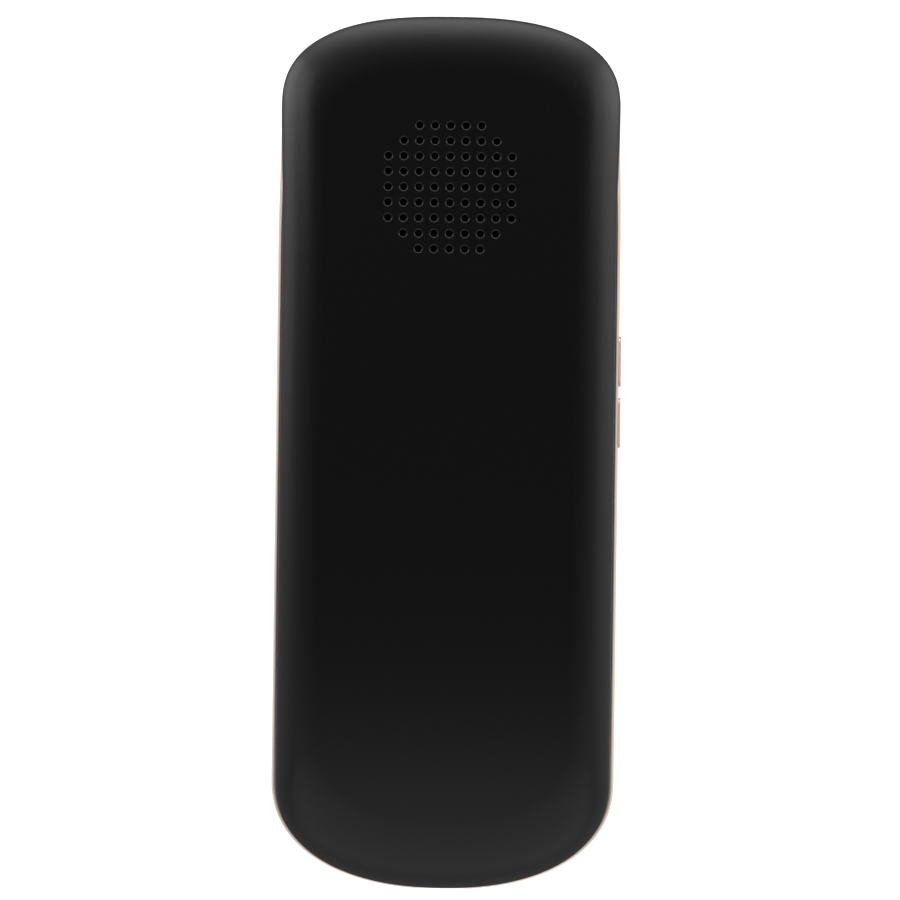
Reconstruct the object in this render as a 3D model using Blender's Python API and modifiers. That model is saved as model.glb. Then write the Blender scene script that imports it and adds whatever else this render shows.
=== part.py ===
"""Handheld voice translator, modelled face down: it rests on its front panel and its back looks up.

Lengths are in metres. +Z points out of the back, +Y towards the speaker end, and the volume keys
are on the +X side. The origin is the middle of the front panel's flat face.
"""

import math

import bmesh
import bpy
from mathutils import Matrix, Vector

MM = 0.001

# Plan outline of the body, measured at the widest line of the metal band
BODY_LENGTH = 142.0 * MM
BODY_WIDTH = 55.7 * MM
SPEAKER_END_DEPTH = 15.55 * MM
CHARGING_END_DEPTH = 17.65 * MM
SPEAKER_END_POWER = 2.62
CHARGING_END_POWER = 2.25
END_STEPS = 20

# Clearances shared by many pieces
STACK_GAP = 0.1 * MM
RUNNING_GAP = 0.15 * MM
SOLDER_GAP = 0.1 * MM
CUT_OVERRUN = 1.0 * MM
JOIN_OVERLAP = 0.25 * MM
MERGE_DISTANCE = 0.001 * MM

# Front panel and the adhesive behind it
PANEL_THICKNESS = 1.0 * MM
PANEL_INSET = 0.45 * MM
PANEL_EDGE_ROUND = 0.75 * MM
PANEL_EDGE_STEPS = 4
ADHESIVE_THICKNESS = 0.15 * MM
ADHESIVE_INSET = 2.6 * MM
ADHESIVE_MARGIN = 0.9 * MM

# Metal band round the middle
BAND_WALL = 1.4 * MM
BAND_CROWN = 0.2 * MM
BAND_EDGE = 0.36 * MM
BAND_STEPS = 6
BAND_OVER_PORT = 0.67 * MM
PANEL_SEAM = 0.12 * MM
COVER_SEAM = 0.15 * MM

# Front housing: a tray behind the panel that carries the board
HOUSING_FIT = 0.15 * MM
HOUSING_WALL = 1.0 * MM
FLOOR_THICKNESS = 1.0 * MM
BOSS_RADIUS = 1.8 * MM
BOSS_BORE_RADIUS = 0.75 * MM
BOSS_FLOOR = 0.4 * MM

# Rear cover
COVER_SIDE_INSET = 0.59 * MM
COVER_END_INSET = 0.35 * MM
COVER_WALL = 1.4 * MM
COVER_RIM_WALL = 1.3 * MM
SIDE_ROLL = 7.2 * MM
SPEAKER_END_ROLL = 8.8 * MM
CHARGING_END_ROLL = 10.5 * MM
CREST_SPEAKER_DEPTH = 11.0 * MM
CREST_CHARGING_DEPTH = 13.0 * MM
ROLL_STEPS = 7
INNER_ROLL_STEPS = 5
INNER_ROLL_START = 2
LIP_WALL = 0.8 * MM
LIP_FIT = 0.15 * MM
LIP_GAP = 0.2 * MM
LIP_ROOT = 0.6 * MM
HOOK_LENGTH = 4.0 * MM
HOOK_HEIGHT = 0.7 * MM
HOOK_REACH = 0.4 * MM
HOOK_CLEARANCE = 0.15 * MM
HOOK_RISE = 0.15 * MM
HOOK_COVER = 0.22 * MM
HOOK_PLACE_SHARES = (-0.62, -0.28, 0.4, 0.66)
CELL_RIB_WALL = 0.8 * MM
CELL_RIB_HEIGHT = 2.6 * MM
CELL_RIB_GAP = 0.3 * MM
SPEAKER_WELL_WALL = 0.8 * MM
SPEAKER_WELL_DEPTH = 1.9 * MM

# Speaker grille: a square grid of round holes with its corners left out
GRILLE_PITCH = 2.5 * MM
GRILLE_HOLE_RADIUS = 0.6 * MM
GRILLE_REACH = 4
GRILLE_DIAGONAL = 6
GRILLE_HOLE_SIDES = 10
GRILLE_FROM_END = 28.0 * MM

# Talk keys, their trim rings and the power key, all on the front
TALK_KEY_RADIUS = 10.0 * MM
TALK_KEY_SPACING = 28.0 * MM
TALK_FROM_POWER_KEY = 24.0 * MM
TALK_KEY_TRAVEL = 0.35 * MM
TALK_KEY_RECESS = 0.3 * MM
TALK_KEY_DISH = 0.35 * MM
TALK_RING_WIDTH = 0.85 * MM
TALK_RING_RECESS = 0.06 * MM
POWER_KEY_RADIUS = 3.5 * MM
POWER_KEY_FROM_END = 33.0 * MM
POWER_KEY_DISH = 0.15 * MM
KEY_FLANGE_THICKNESS = 0.4 * MM
KEY_FLANGE_REACH = 1.0 * MM
KEY_EDGE = 0.2 * MM
DISH_STEPS = 3
ROUND_KEY_STEPS = 32

# Volume keys on the +X side
VOLUME_KEY_LENGTH = 8.3 * MM
VOLUME_KEY_HEIGHT = 2.2 * MM
VOLUME_KEY_PROUD = 0.3 * MM
VOLUME_KEY_PITCH = 9.95 * MM
VOLUME_KEYS_FROM_END = 60.8 * MM
VOLUME_KEY_TRAVEL = 0.25 * MM
VOLUME_KEY_EDGE = 0.2 * MM
VOLUME_FLANGE_REACH = 0.6 * MM
VOLUME_FLANGE_THICKNESS = 0.6 * MM
VOLUME_NUB_LENGTH = 2.0 * MM
VOLUME_NUB_HEIGHT = 1.0 * MM
VOLUME_NUB_DEPTH = 0.6 * MM
VOLUME_WINDOW_MARGIN = 0.6 * MM
PILL_STEPS = 6

# Tact switches on the underside of the board
SWITCH_HEIGHT = 1.0 * MM
SWITCH_SIDE = 4.6 * MM
STEM_RADIUS = 1.0 * MM
STEM_ENGAGEMENT = 0.25 * MM
SIDE_SWITCH_HEIGHT = 1.2 * MM
SIDE_SWITCH_LENGTH = 4.4 * MM
SIDE_SWITCH_DEPTH = 2.8 * MM
SIDE_STEM_LENGTH = 1.2 * MM
SIDE_STEM_HEIGHT = 0.6 * MM
SIDE_STEM_REACH = 0.6 * MM

# Main board and what is soldered to it
BOARD_THICKNESS = 1.2 * MM
BOARD_INSET = 3.0 * MM
BOARD_SCREW_RADIUS = 0.8 * MM
SHIELD_WIDTH = 24.0 * MM
SHIELD_LENGTH = 11.0 * MM
SHIELD_HEIGHT = 1.8 * MM
SHIELD_WALL = 0.2 * MM
SHIELD_FROM_END = 23.5 * MM
PROCESSOR_SIDE = 8.0 * MM
PROCESSOR_HEIGHT = 0.9 * MM
RADIO_WIDTH = 16.0 * MM
RADIO_LENGTH = 8.5 * MM
RADIO_HEIGHT = 1.5 * MM
RADIO_FROM_END = 10.0 * MM
AMPLIFIER_SIDE = 4.0 * MM
AMPLIFIER_HEIGHT = 0.9 * MM
AMPLIFIER_FROM_KEY = 11.0 * MM

# Micro USB socket at the charging end, sunk into a notch in the board
USB_WIDTH = 7.6 * MM
USB_HEIGHT = 2.5 * MM
USB_DEPTH = 5.2 * MM
USB_WALL = 0.25 * MM
USB_CORNER = 0.7 * MM
USB_FROM_END = 0.7 * MM
USB_NOTCH_GAP = 0.25 * MM
USB_PORT_MARGIN = 0.7 * MM
USB_RELIEF_DEPTH = 0.5 * MM
USB_TONGUE_WIDTH = 4.6 * MM
USB_TONGUE_THICKNESS = 0.6 * MM
USB_TONGUE_REACH = 3.4 * MM
USB_TONGUE_RISE = 0.35 * MM
USB_CORE_GAP = 0.1 * MM
USB_BACK = 1.2 * MM

# Microphone and status light, both looking through the front panel
MICROPHONE_RADIUS = 2.0 * MM
MICROPHONE_FROM_END = 14.0 * MM
MICROPHONE_PORT_RADIUS = 0.5 * MM
BOOT_WALL = 0.6 * MM
BOOT_FLOOR = 0.3 * MM
LIGHT_RADIUS = 1.0 * MM
LIGHT_FROM_END = 19.0 * MM
LIGHT_RECESS = 0.05 * MM
LIGHT_FLANGE_REACH = 0.6 * MM
LIGHT_FLANGE_THICKNESS = 0.4 * MM
LED_LENGTH = 1.6 * MM
LED_WIDTH = 0.8 * MM
LED_HEIGHT = 0.6 * MM
SMALL_ROUND_STEPS = 12

# Battery between the board and the rear cover
CELL_THICKNESS = 3.5 * MM
CELL_EDGE = 0.8 * MM
CELL_CLEARANCE = 0.15 * MM
CELL_FROM_SCREWS = 2.8 * MM
CELL_FROM_SHIELD = 5.0 * MM
CELL_FROM_WELL = 11.5 * MM
CELL_TAPE_THICKNESS = 0.15 * MM
CELL_TAPE_MARGIN = 4.0 * MM
GUARD_BOARD_INSET = 3.0 * MM
GUARD_BOARD_LENGTH = 2.8 * MM
GUARD_BOARD_HEIGHT = 1.6 * MM
SOCKET_LENGTH = 5.0 * MM
SOCKET_WIDTH = 3.6 * MM
SOCKET_HEIGHT = 2.4 * MM
SOCKET_WALL = 0.4 * MM
SOCKET_FROM_SIDE = 6.0 * MM
SOCKET_FROM_CELL = 6.6 * MM
PLUG_LENGTH = 4.0 * MM
PLUG_PROUD = 1.2 * MM
PLUG_GAP = 0.12 * MM

# Speaker under the grille
SPEAKER_MARGIN = 0.8 * MM
SPEAKER_FLANGE = 0.9 * MM
SPEAKER_SHELF = 3.8 * MM
SPEAKER_WALL = 0.5 * MM
MAGNET_INSET = 1.0 * MM
MAGNET_HEIGHT = 1.1 * MM
CONE_INSET = 2.0 * MM
CONE_THICKNESS = 0.15 * MM
CONE_DEPTH = 0.5 * MM
CONE_SURROUND = 1.9 * MM
DOME_RADIUS = 4.5 * MM
DOME_STEPS = 3
CONE_DROP = 0.25 * MM
CONE_TRAVEL = 0.2 * MM
GASKET_THICKNESS = 0.4 * MM
GASKET_WIDTH = 1.6 * MM
MESH_THICKNESS = 0.15 * MM
WELL_GAP = 0.3 * MM
SPEAKER_STEPS = 24

# Leads
LEAD_RADIUS = 0.35 * MM
LEAD_SPREAD = 0.55 * MM
LEAD_REACH = 2.4 * MM
LEAD_POINTS = 9
LEAD_SIDES_LEVEL = 1
SPEAKER_PAD_OFFSET = 6.0 * MM
SPEAKER_PAD_FROM_WELL = 4.6 * MM
BATTERY_LEAD_FROM_CORNER = 1.3 * MM

# Board screws
SCREW_FROM_SIDE = 6.8 * MM
SCREW_SPEAKER_FROM_END = 19.0 * MM
SCREW_FROM_VOLUME_KEYS = 6.5 * MM
SCREW_CHARGING_FROM_END = 17.0 * MM
SCREW_CHARGING_SHIFT = 2.0 * MM
SCREW_HEAD_RADIUS = 1.3 * MM
SCREW_HEAD_HEIGHT = 0.6 * MM
SCREW_SHANK_RADIUS = 0.6 * MM
SCREW_LENGTH = 2.6 * MM
SCREW_RECESS_WIDTH = 0.35 * MM
SCREW_RECESS_LENGTH = 1.6 * MM
SCREW_RECESS_DEPTH = 0.3 * MM

# Heights of the stack, from the front panel's flat face at zero up to the back
ADHESIVE_BOTTOM = PANEL_THICKNESS + STACK_GAP
FLOOR_BOTTOM = ADHESIVE_BOTTOM + ADHESIVE_THICKNESS + STACK_GAP
FLOOR_TOP = FLOOR_BOTTOM + FLOOR_THICKNESS
FLANGE_BOTTOM = FLOOR_TOP + STACK_GAP
FLANGE_TOP = FLANGE_BOTTOM + KEY_FLANGE_THICKNESS
SWITCH_BOTTOM = FLANGE_TOP + TALK_KEY_TRAVEL + STACK_GAP
BOARD_BOTTOM = SWITCH_BOTTOM + SWITCH_HEIGHT + SOLDER_GAP
BOARD_TOP = BOARD_BOTTOM + BOARD_THICKNESS
CELL_BOTTOM = BOARD_TOP + STACK_GAP + CELL_TAPE_THICKNESS + STACK_GAP
CELL_TOP = CELL_BOTTOM + CELL_THICKNESS
COVER_CEILING = CELL_TOP + CELL_CLEARANCE
BACK = COVER_CEILING + COVER_WALL
VOLUME_KEY_Z = BOARD_BOTTOM - SOLDER_GAP - SIDE_SWITCH_HEIGHT / 2
USB_Z = FLOOR_TOP + STACK_GAP + USB_HEIGHT / 2
BAND_BOTTOM = PANEL_THICKNESS + PANEL_SEAM
BAND_TOP = USB_Z + USB_HEIGHT / 2 + USB_PORT_MARGIN + BAND_OVER_PORT
COVER_RIM = BAND_TOP + COVER_SEAM
HOOK_Z = BAND_TOP - HOOK_COVER - HOOK_CLEARANCE - HOOK_HEIGHT / 2
LIP_BOTTOM = HOOK_Z - HOOK_HEIGHT / 2 - HOOK_RISE
HOUSING_TOP = LIP_BOTTOM - LIP_GAP

# Places in plan
SPEAKER_END_Y = BODY_LENGTH / 2
CHARGING_END_Y = -BODY_LENGTH / 2
SIDE_X = BODY_WIDTH / 2
POWER_KEY_Y = SPEAKER_END_Y - POWER_KEY_FROM_END
TALK_UPPER_Y = POWER_KEY_Y - TALK_FROM_POWER_KEY
TALK_LOWER_Y = TALK_UPPER_Y - TALK_KEY_SPACING
VOLUME_MIDDLE_Y = SPEAKER_END_Y - VOLUME_KEYS_FROM_END
VOLUME_UP_Y = VOLUME_MIDDLE_Y + VOLUME_KEY_PITCH / 2
VOLUME_DOWN_Y = VOLUME_MIDDLE_Y - VOLUME_KEY_PITCH / 2
VOLUME_KEYS_HALF = (VOLUME_KEY_PITCH + VOLUME_KEY_LENGTH) / 2 + VOLUME_FLANGE_REACH
SCREW_X = SIDE_X - SCREW_FROM_SIDE
SCREW_MIDDLE_Y = VOLUME_MIDDLE_Y - VOLUME_KEYS_HALF - SCREW_FROM_VOLUME_KEYS
MICROPHONE_Y = CHARGING_END_Y + MICROPHONE_FROM_END
LIGHT_Y = SPEAKER_END_Y - LIGHT_FROM_END
USB_MOUTH_Y = CHARGING_END_Y + USB_FROM_END
BOARD_SIDE_X = SIDE_X - BOARD_INSET
SHIELD_Y = CHARGING_END_Y + SHIELD_FROM_END

# The speaker covers the grille, and the battery fills the room between the shield can and the speaker
SPEAKER_Y = SPEAKER_END_Y - GRILLE_FROM_END
SPEAKER_RADIUS = GRILLE_REACH * GRILLE_PITCH + GRILLE_HOLE_RADIUS + SPEAKER_MARGIN
SPEAKER_THROAT_RADIUS = SPEAKER_RADIUS - SPEAKER_SHELF
MAGNET_RADIUS = SPEAKER_THROAT_RADIUS - MAGNET_INSET
CONE_RADIUS = SPEAKER_RADIUS - CONE_INSET
WELL_INNER_RADIUS = SPEAKER_RADIUS + WELL_GAP
WELL_RADIUS = WELL_INNER_RADIUS + SPEAKER_WELL_WALL
WELL_EDGE_Y = SPEAKER_Y - WELL_RADIUS
CELL_LOW_Y = SHIELD_Y + SHIELD_LENGTH / 2 + CELL_FROM_SHIELD
CELL_HIGH_Y = WELL_EDGE_Y - CELL_FROM_WELL
CELL_Y = (CELL_LOW_Y + CELL_HIGH_Y) / 2
CELL_LENGTH = CELL_HIGH_Y - CELL_LOW_Y
CELL_WIDTH = 2 * (SCREW_X - SCREW_HEAD_RADIUS - CELL_FROM_SCREWS)
GUARD_BOARD_WIDTH = CELL_WIDTH - 2 * GUARD_BOARD_INSET
GUARD_Y = CELL_HIGH_Y + STACK_GAP + GUARD_BOARD_LENGTH / 2

UPRIGHT = Matrix.Rotation(math.radians(90), 4, "X")
SIDEWAYS = Matrix(((0, 0, 1, 0), (1, 0, 0, 0), (0, 1, 0, 0), (0, 0, 0, 1)))

FINISHES = {
    "soft_black": ((0.012, 0.012, 0.013), 0.45, 0.0),
    "gloss_black": ((0.006, 0.006, 0.007), 0.08, 0.0),
    "inner_black": ((0.02, 0.02, 0.022), 0.6, 0.0),
    "rose_gold": ((0.50, 0.38, 0.31), 0.32, 1.0),
    "board_green": ((0.01, 0.09, 0.035), 0.45, 0.0),
    "chip_black": ((0.015, 0.015, 0.016), 0.5, 0.0),
    "tinned_steel": ((0.55, 0.55, 0.56), 0.3, 1.0),
    "dark_steel": ((0.25, 0.25, 0.26), 0.4, 1.0),
    "pouch_silver": ((0.62, 0.63, 0.65), 0.35, 0.6),
    "amber_tape": ((0.55, 0.30, 0.06), 0.4, 0.0),
    "white_plastic": ((0.75, 0.74, 0.70), 0.45, 0.0),
    "clear_plastic": ((0.80, 0.82, 0.84), 0.1, 0.0),
    "black_rubber": ((0.02, 0.02, 0.02), 0.8, 0.0),
    "grey_foam": ((0.09, 0.09, 0.09), 0.9, 0.0),
    "paper_cone": ((0.05, 0.05, 0.052), 0.7, 0.0),
    "red_insulation": ((0.5, 0.02, 0.015), 0.4, 0.0),
    "black_insulation": ((0.02, 0.02, 0.02), 0.4, 0.0),
}


class Outline:
    """A plan outline of the body: straight sides between two rounded ends, each half a superellipse."""

    def __init__(self, half_width, top, bottom, top_depth, bottom_depth):
        self.sizes = (half_width, top, bottom, top_depth, bottom_depth)

    def inset(self, by):
        half_width, top, bottom, top_depth, bottom_depth = self.sizes
        return Outline(half_width - by, top - by, bottom + by, top_depth - by, bottom_depth - by)

    def towards(self, other, share):
        return Outline(*(a + (b - a) * share for a, b in zip(self.sizes, other.sizes)))

    def points(self):
        half_width, top, bottom, top_depth, bottom_depth = self.sizes
        upper = end_points(half_width, top_depth, SPEAKER_END_POWER)
        lower = end_points(half_width, bottom_depth, CHARGING_END_POWER)
        speaker_end = [(x, top - top_depth + y) for x, y in upper]
        charging_end = [(-x, bottom + bottom_depth - y) for x, y in lower]
        return speaker_end + charging_end


def end_points(half_width, depth, power):
    """One rounded end, from its +X side over its tip to its -X side."""
    points = []
    for step in range(END_STEPS + 1):
        angle = math.pi * step / END_STEPS
        across = math.cos(angle)
        along = max(0.0, math.sin(angle))
        x = half_width * math.copysign(abs(across) ** (2 / power), across)
        y = depth * along ** (2 / power)
        points.append((x, y))
    return points


BODY = Outline(SIDE_X, SPEAKER_END_Y, CHARGING_END_Y, SPEAKER_END_DEPTH, CHARGING_END_DEPTH)
RIM = Outline(
    SIDE_X - COVER_SIDE_INSET,
    SPEAKER_END_Y - COVER_END_INSET,
    CHARGING_END_Y + COVER_END_INSET,
    SPEAKER_END_DEPTH - COVER_END_INSET,
    CHARGING_END_DEPTH - COVER_END_INSET,
)
CREST = Outline(
    SIDE_X - COVER_SIDE_INSET - SIDE_ROLL,
    SPEAKER_END_Y - COVER_END_INSET - SPEAKER_END_ROLL,
    CHARGING_END_Y + COVER_END_INSET + CHARGING_END_ROLL,
    CREST_SPEAKER_DEPTH,
    CREST_CHARGING_DEPTH,
)


def circle(x, y, radius, sides=SMALL_ROUND_STEPS):
    return [
        (x + radius * math.cos(2 * math.pi * k / sides), y + radius * math.sin(2 * math.pi * k / sides))
        for k in range(sides)
    ]


def pill(length, height):
    """A slot outline with round ends, its long side along its first axis."""
    radius = height / 2
    points = []
    for side in (1, -1):
        for step in range(PILL_STEPS + 1):
            angle = math.pi * step / PILL_STEPS - math.pi / 2
            x = side * (length / 2 - radius + radius * math.cos(angle))
            points.append((x, side * radius * math.sin(angle)))
    return points


def clear_scene():
    for obj in list(bpy.data.objects):
        bpy.data.objects.remove(obj)


def new_collection(name):
    collection = bpy.data.collections.new(name)
    bpy.context.scene.collection.children.link(collection)
    return collection


clear_scene()
PARTS = new_collection("handheld_translator")
CUTTERS = new_collection("cutters_and_helpers")


def material_for(name, finish):
    colour, roughness, metallic = FINISHES[finish]
    material = bpy.data.materials.new(f"{name}_{finish}")
    material.use_nodes = True
    shader = material.node_tree.nodes["Principled BSDF"]
    shader.inputs["Base Color"].default_value = (*colour, 1.0)
    shader.inputs["Roughness"].default_value = roughness
    shader.inputs["Metallic"].default_value = metallic
    return material


def add_object(name, mesh, finish=None):
    """Puts a mesh in the scene: as a part where it has a finish, and otherwise as a hidden helper."""
    obj = bpy.data.objects.new(name, mesh)
    if finish:
        PARTS.objects.link(obj)
        if not mesh.materials:
            mesh.materials.append(material_for(name, finish))
    else:
        CUTTERS.objects.link(obj)
        obj.hide_render = True
        obj.display_type = "WIRE"
    return obj


def mesh_from(bm, name):
    bmesh.ops.remove_doubles(bm, verts=bm.verts, dist=MERGE_DISTANCE)
    bmesh.ops.recalc_face_normals(bm, faces=bm.faces)
    if bm.calc_volume(signed=True) < 0:
        bmesh.ops.reverse_faces(bm, faces=bm.faces)
    mesh = bpy.data.meshes.new(name)
    bm.to_mesh(mesh)
    bm.free()
    return mesh


def smooth(obj, angle=35):
    obj.data.shade_smooth()
    obj.data.set_sharp_from_angle(angle=math.radians(angle))
    return obj


def lofted(name, levels, finish=None, ring=False):
    """A solid through outlines at their heights: capped at both ends, or closed into a ring."""
    bm = bmesh.new()
    loops = [[bm.verts.new((x, y, z)) for x, y in outline.points()] for outline, z in levels]
    pairs = list(zip(loops, loops[1:]))
    if ring:
        pairs.append((loops[-1], loops[0]))
    for first, second in pairs:
        for k in range(len(first)):
            after = (k + 1) % len(first)
            bm.faces.new((first[k], first[after], second[after], second[k]))
    if not ring:
        bm.faces.new(loops[0])
        bm.faces.new(loops[-1])
    return smooth(add_object(name, mesh_from(bm, name), finish))


def evaluated_mesh(obj, name):
    """The object's mesh with its modifiers applied, in the object's own space."""
    bpy.context.view_layer.update()
    graph = bpy.context.evaluated_depsgraph_get()
    mesh = bpy.data.meshes.new_from_object(obj.evaluated_get(graph))
    mesh.name = name
    return mesh


def extruded(name, loops, depth, place, finish=None):
    """A flat outline with its openings, extruded evenly both ways from its plane, then placed."""
    curve = bpy.data.curves.new(name, "CURVE")
    curve.dimensions = "2D"
    curve.fill_mode = "BOTH"
    curve.extrude = depth / 2
    for points in loops:
        spline = curve.splines.new("POLY")
        spline.points.add(len(points) - 1)
        for knot, (x, y) in zip(spline.points, points):
            knot.co = (x, y, 0, 1)
        spline.use_cyclic_u = True
    source = add_object(name + "_outline", curve)
    flat = evaluated_mesh(source, name)
    bpy.data.objects.remove(source)
    flat.transform(place)
    bm = bmesh.new()
    bm.from_mesh(flat)
    bpy.data.meshes.remove(flat)
    return add_object(name, mesh_from(bm, name), finish)


def plate(name, loops, bottom, thickness, finish=None):
    return extruded(name, loops, thickness, Matrix.Translation((0, 0, bottom + thickness / 2)), finish)


def box(name, size, centre, finish=None):
    bm = bmesh.new()
    bmesh.ops.create_cube(bm, size=1, matrix=Matrix.Translation(centre) @ Matrix.Diagonal((*size, 1)))
    return add_object(name, mesh_from(bm, name), finish)


def cylinder(name, radius, bottom, top, x, y, sides=SMALL_ROUND_STEPS, finish=None):
    bm = bmesh.new()
    place = Matrix.Translation((x, y, (bottom + top) / 2))
    bmesh.ops.create_cone(
        bm, cap_ends=True, segments=sides, radius1=radius, radius2=radius, depth=top - bottom, matrix=place
    )
    return smooth(add_object(name, mesh_from(bm, name), finish))


def turned(name, profile, steps, x, y, finish=None):
    """A solid turned about its own Z axis. Its profile runs down its outer side or round a ring."""
    edges = [(k, k + 1) for k in range(len(profile) - 1)]
    if profile[0][0] > 0:
        edges.append((len(profile) - 1, 0))
    mesh = bpy.data.meshes.new(name)
    mesh.from_pydata([(radius, 0, z) for radius, z in profile], edges, [])
    obj = add_object(name, mesh, finish)
    obj.location = (x, y, 0)
    screw = obj.modifiers.new("turn", "SCREW")
    screw.axis = "Z"
    screw.steps = steps
    screw.render_steps = steps
    screw.use_merge_vertices = True
    screw.merge_threshold = MERGE_DISTANCE
    return obj


def boolean(target, operation, others):
    for other in others:
        modifier = target.modifiers.new(f"{operation.lower()}_{other.name}", "BOOLEAN")
        modifier.operation = operation
        modifier.solver = "EXACT"
        modifier.object = other


def cut(target, *cutters):
    boolean(target, "DIFFERENCE", cutters)


def join(target, *pieces):
    boolean(target, "UNION", pieces)


def bevel(obj, width, segments=2, angle=40):
    modifier = obj.modifiers.new("rounded_edges", "BEVEL")
    modifier.width = width
    modifier.segments = segments
    modifier.limit_method = "ANGLE"
    modifier.angle_limit = math.radians(angle)
    return obj


def set_origin(obj, point):
    obj.data.transform(Matrix.Translation(-Vector(point)))
    obj.location = point
    return obj


def make_band():
    """The metal band: crowned outside, with chamfered edges, key slots and a port for the socket."""
    middle = (BAND_BOTTOM + BAND_TOP) / 2
    half_height = (BAND_TOP - BAND_BOTTOM) / 2
    levels = [(BODY.inset(BAND_WALL), BAND_TOP), (BODY.inset(BAND_CROWN + BAND_EDGE), BAND_TOP)]
    for step in range(BAND_STEPS + 1):
        share = 1 - 2 * step / BAND_STEPS
        levels.append((BODY.inset(BAND_CROWN * share**2), middle + share * (half_height - BAND_EDGE)))
    levels.append((BODY.inset(BAND_CROWN + BAND_EDGE), BAND_BOTTOM))
    levels.append((BODY.inset(BAND_WALL), BAND_BOTTOM))
    band = lofted("mid_frame", levels, "rose_gold", ring=True)

    slot_depth = BAND_WALL + 2 * CUT_OVERRUN
    slot = pill(VOLUME_KEY_LENGTH + 2 * RUNNING_GAP, VOLUME_KEY_HEIGHT + 2 * RUNNING_GAP)
    for name, y in (("up", VOLUME_UP_Y), ("down", VOLUME_DOWN_Y)):
        place = Matrix.Translation((SIDE_X - BAND_WALL / 2, y, VOLUME_KEY_Z)) @ SIDEWAYS
        cut(band, extruded(f"volume_{name}_slot", [slot], slot_depth, place))

    port = pill(USB_WIDTH + 2 * USB_PORT_MARGIN, USB_HEIGHT + 2 * USB_PORT_MARGIN)
    place = Matrix.Translation((0, CHARGING_END_Y + BAND_WALL / 2, USB_Z)) @ UPRIGHT
    cut(band, extruded("charging_port", [port], slot_depth, place))

    pocket_size = (
        HOOK_REACH + HOOK_CLEARANCE + CUT_OVERRUN,
        HOOK_LENGTH + 2 * HOOK_CLEARANCE,
        HOOK_HEIGHT + 2 * HOOK_CLEARANCE,
    )
    inner_face = SIDE_X - BAND_WALL
    pocket_x = inner_face - LIP_FIT + HOOK_REACH + HOOK_CLEARANCE - pocket_size[0] / 2
    for number, (side, y) in enumerate(hook_places()):
        centre = (side * pocket_x, y, HOOK_Z)
        cut(band, box(f"hook_pocket_{number}", pocket_size, centre))
    return band


def hook_places():
    """The side and the place along it of each snap hook, clear of the volume keys."""
    return [(side, share * SPEAKER_END_Y) for side in (1, -1) for share in HOOK_PLACE_SHARES]


def cover_levels():
    """The rear cover as one folded shell: over the back, round the rim, down and up the lip, and inside."""
    height = BACK - COVER_RIM
    levels = []
    for step in range(ROLL_STEPS, -1, -1):
        angle = math.radians(90) * step / ROLL_STEPS
        outline = RIM.towards(CREST, 1 - math.cos(angle))
        levels.append((outline, COVER_RIM + height * math.sin(angle)))
    lip_outer = BODY.inset(BAND_WALL + LIP_FIT)
    lip_inner = lip_outer.inset(LIP_WALL)
    levels.append((lip_outer, COVER_RIM))
    levels.append((lip_outer, LIP_BOTTOM))
    levels.append((lip_inner, LIP_BOTTOM))
    levels.append((lip_inner, COVER_RIM + LIP_ROOT))
    inner_rim = RIM.inset(COVER_RIM_WALL)
    inner_height = COVER_CEILING - COVER_RIM
    for step in range(INNER_ROLL_START, INNER_ROLL_STEPS + 1):
        angle = math.radians(90) * step / INNER_ROLL_STEPS
        outline = inner_rim.towards(CREST, 1 - math.cos(angle))
        levels.append((outline, COVER_RIM + inner_height * math.sin(angle)))
    return levels


def make_rear_cover():
    cover = lofted("rear_cover", cover_levels(), "soft_black")

    lip_face = SIDE_X - BAND_WALL - LIP_FIT
    hook_size = (HOOK_REACH + JOIN_OVERLAP, HOOK_LENGTH, HOOK_HEIGHT)
    hook_x = lip_face + HOOK_REACH - hook_size[0] / 2
    for number, (side, y) in enumerate(hook_places()):
        centre = (side * hook_x, y, HOOK_Z)
        join(cover, box(f"snap_hook_{number}", hook_size, centre))

    rib_size = (CELL_RIB_WALL, CELL_LENGTH, CELL_RIB_HEIGHT + JOIN_OVERLAP)
    rib_x = CELL_WIDTH / 2 + CELL_RIB_GAP + CELL_RIB_WALL / 2
    rib_z = COVER_CEILING - CELL_RIB_HEIGHT + rib_size[2] / 2
    for name, side in (("right", 1), ("left", -1)):
        join(cover, box(f"cell_rib_{name}", rib_size, (side * rib_x, CELL_Y, rib_z)))

    rings = [circle(0, SPEAKER_Y, radius, SPEAKER_STEPS) for radius in (WELL_RADIUS, WELL_INNER_RADIUS)]
    well_bottom = COVER_CEILING - SPEAKER_WELL_DEPTH
    well = plate("speaker_well", rings, well_bottom, SPEAKER_WELL_DEPTH + JOIN_OVERLAP)
    join(cover, well)

    relief_top = LIP_BOTTOM + USB_RELIEF_DEPTH
    relief_size = (USB_WIDTH + 2 * USB_NOTCH_GAP, USB_DEPTH, relief_top - FLOOR_TOP)
    relief_z = (relief_top + FLOOR_TOP) / 2
    cut(cover, box("socket_relief", relief_size, (0, USB_MOUTH_Y + USB_DEPTH / 2, relief_z)))

    cut(cover, make_grille_cutter())
    return cover


def make_grille_cutter():
    """Every grille hole as one cutter: a grid of round pins through the cover's flat back."""
    bm = bmesh.new()
    depth = COVER_WALL + 2 * CUT_OVERRUN
    for row in range(-GRILLE_REACH, GRILLE_REACH + 1):
        for column in range(-GRILLE_REACH, GRILLE_REACH + 1):
            if abs(row) + abs(column) > GRILLE_DIAGONAL:
                continue
            place = (column * GRILLE_PITCH, SPEAKER_Y + row * GRILLE_PITCH, BACK - COVER_WALL / 2)
            bmesh.ops.create_cone(
                bm,
                cap_ends=True,
                segments=GRILLE_HOLE_SIDES,
                radius1=GRILLE_HOLE_RADIUS,
                radius2=GRILLE_HOLE_RADIUS,
                depth=depth,
                matrix=Matrix.Translation(place),
            )
    return add_object("grille_pins", mesh_from(bm, "grille_pins"))


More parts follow.
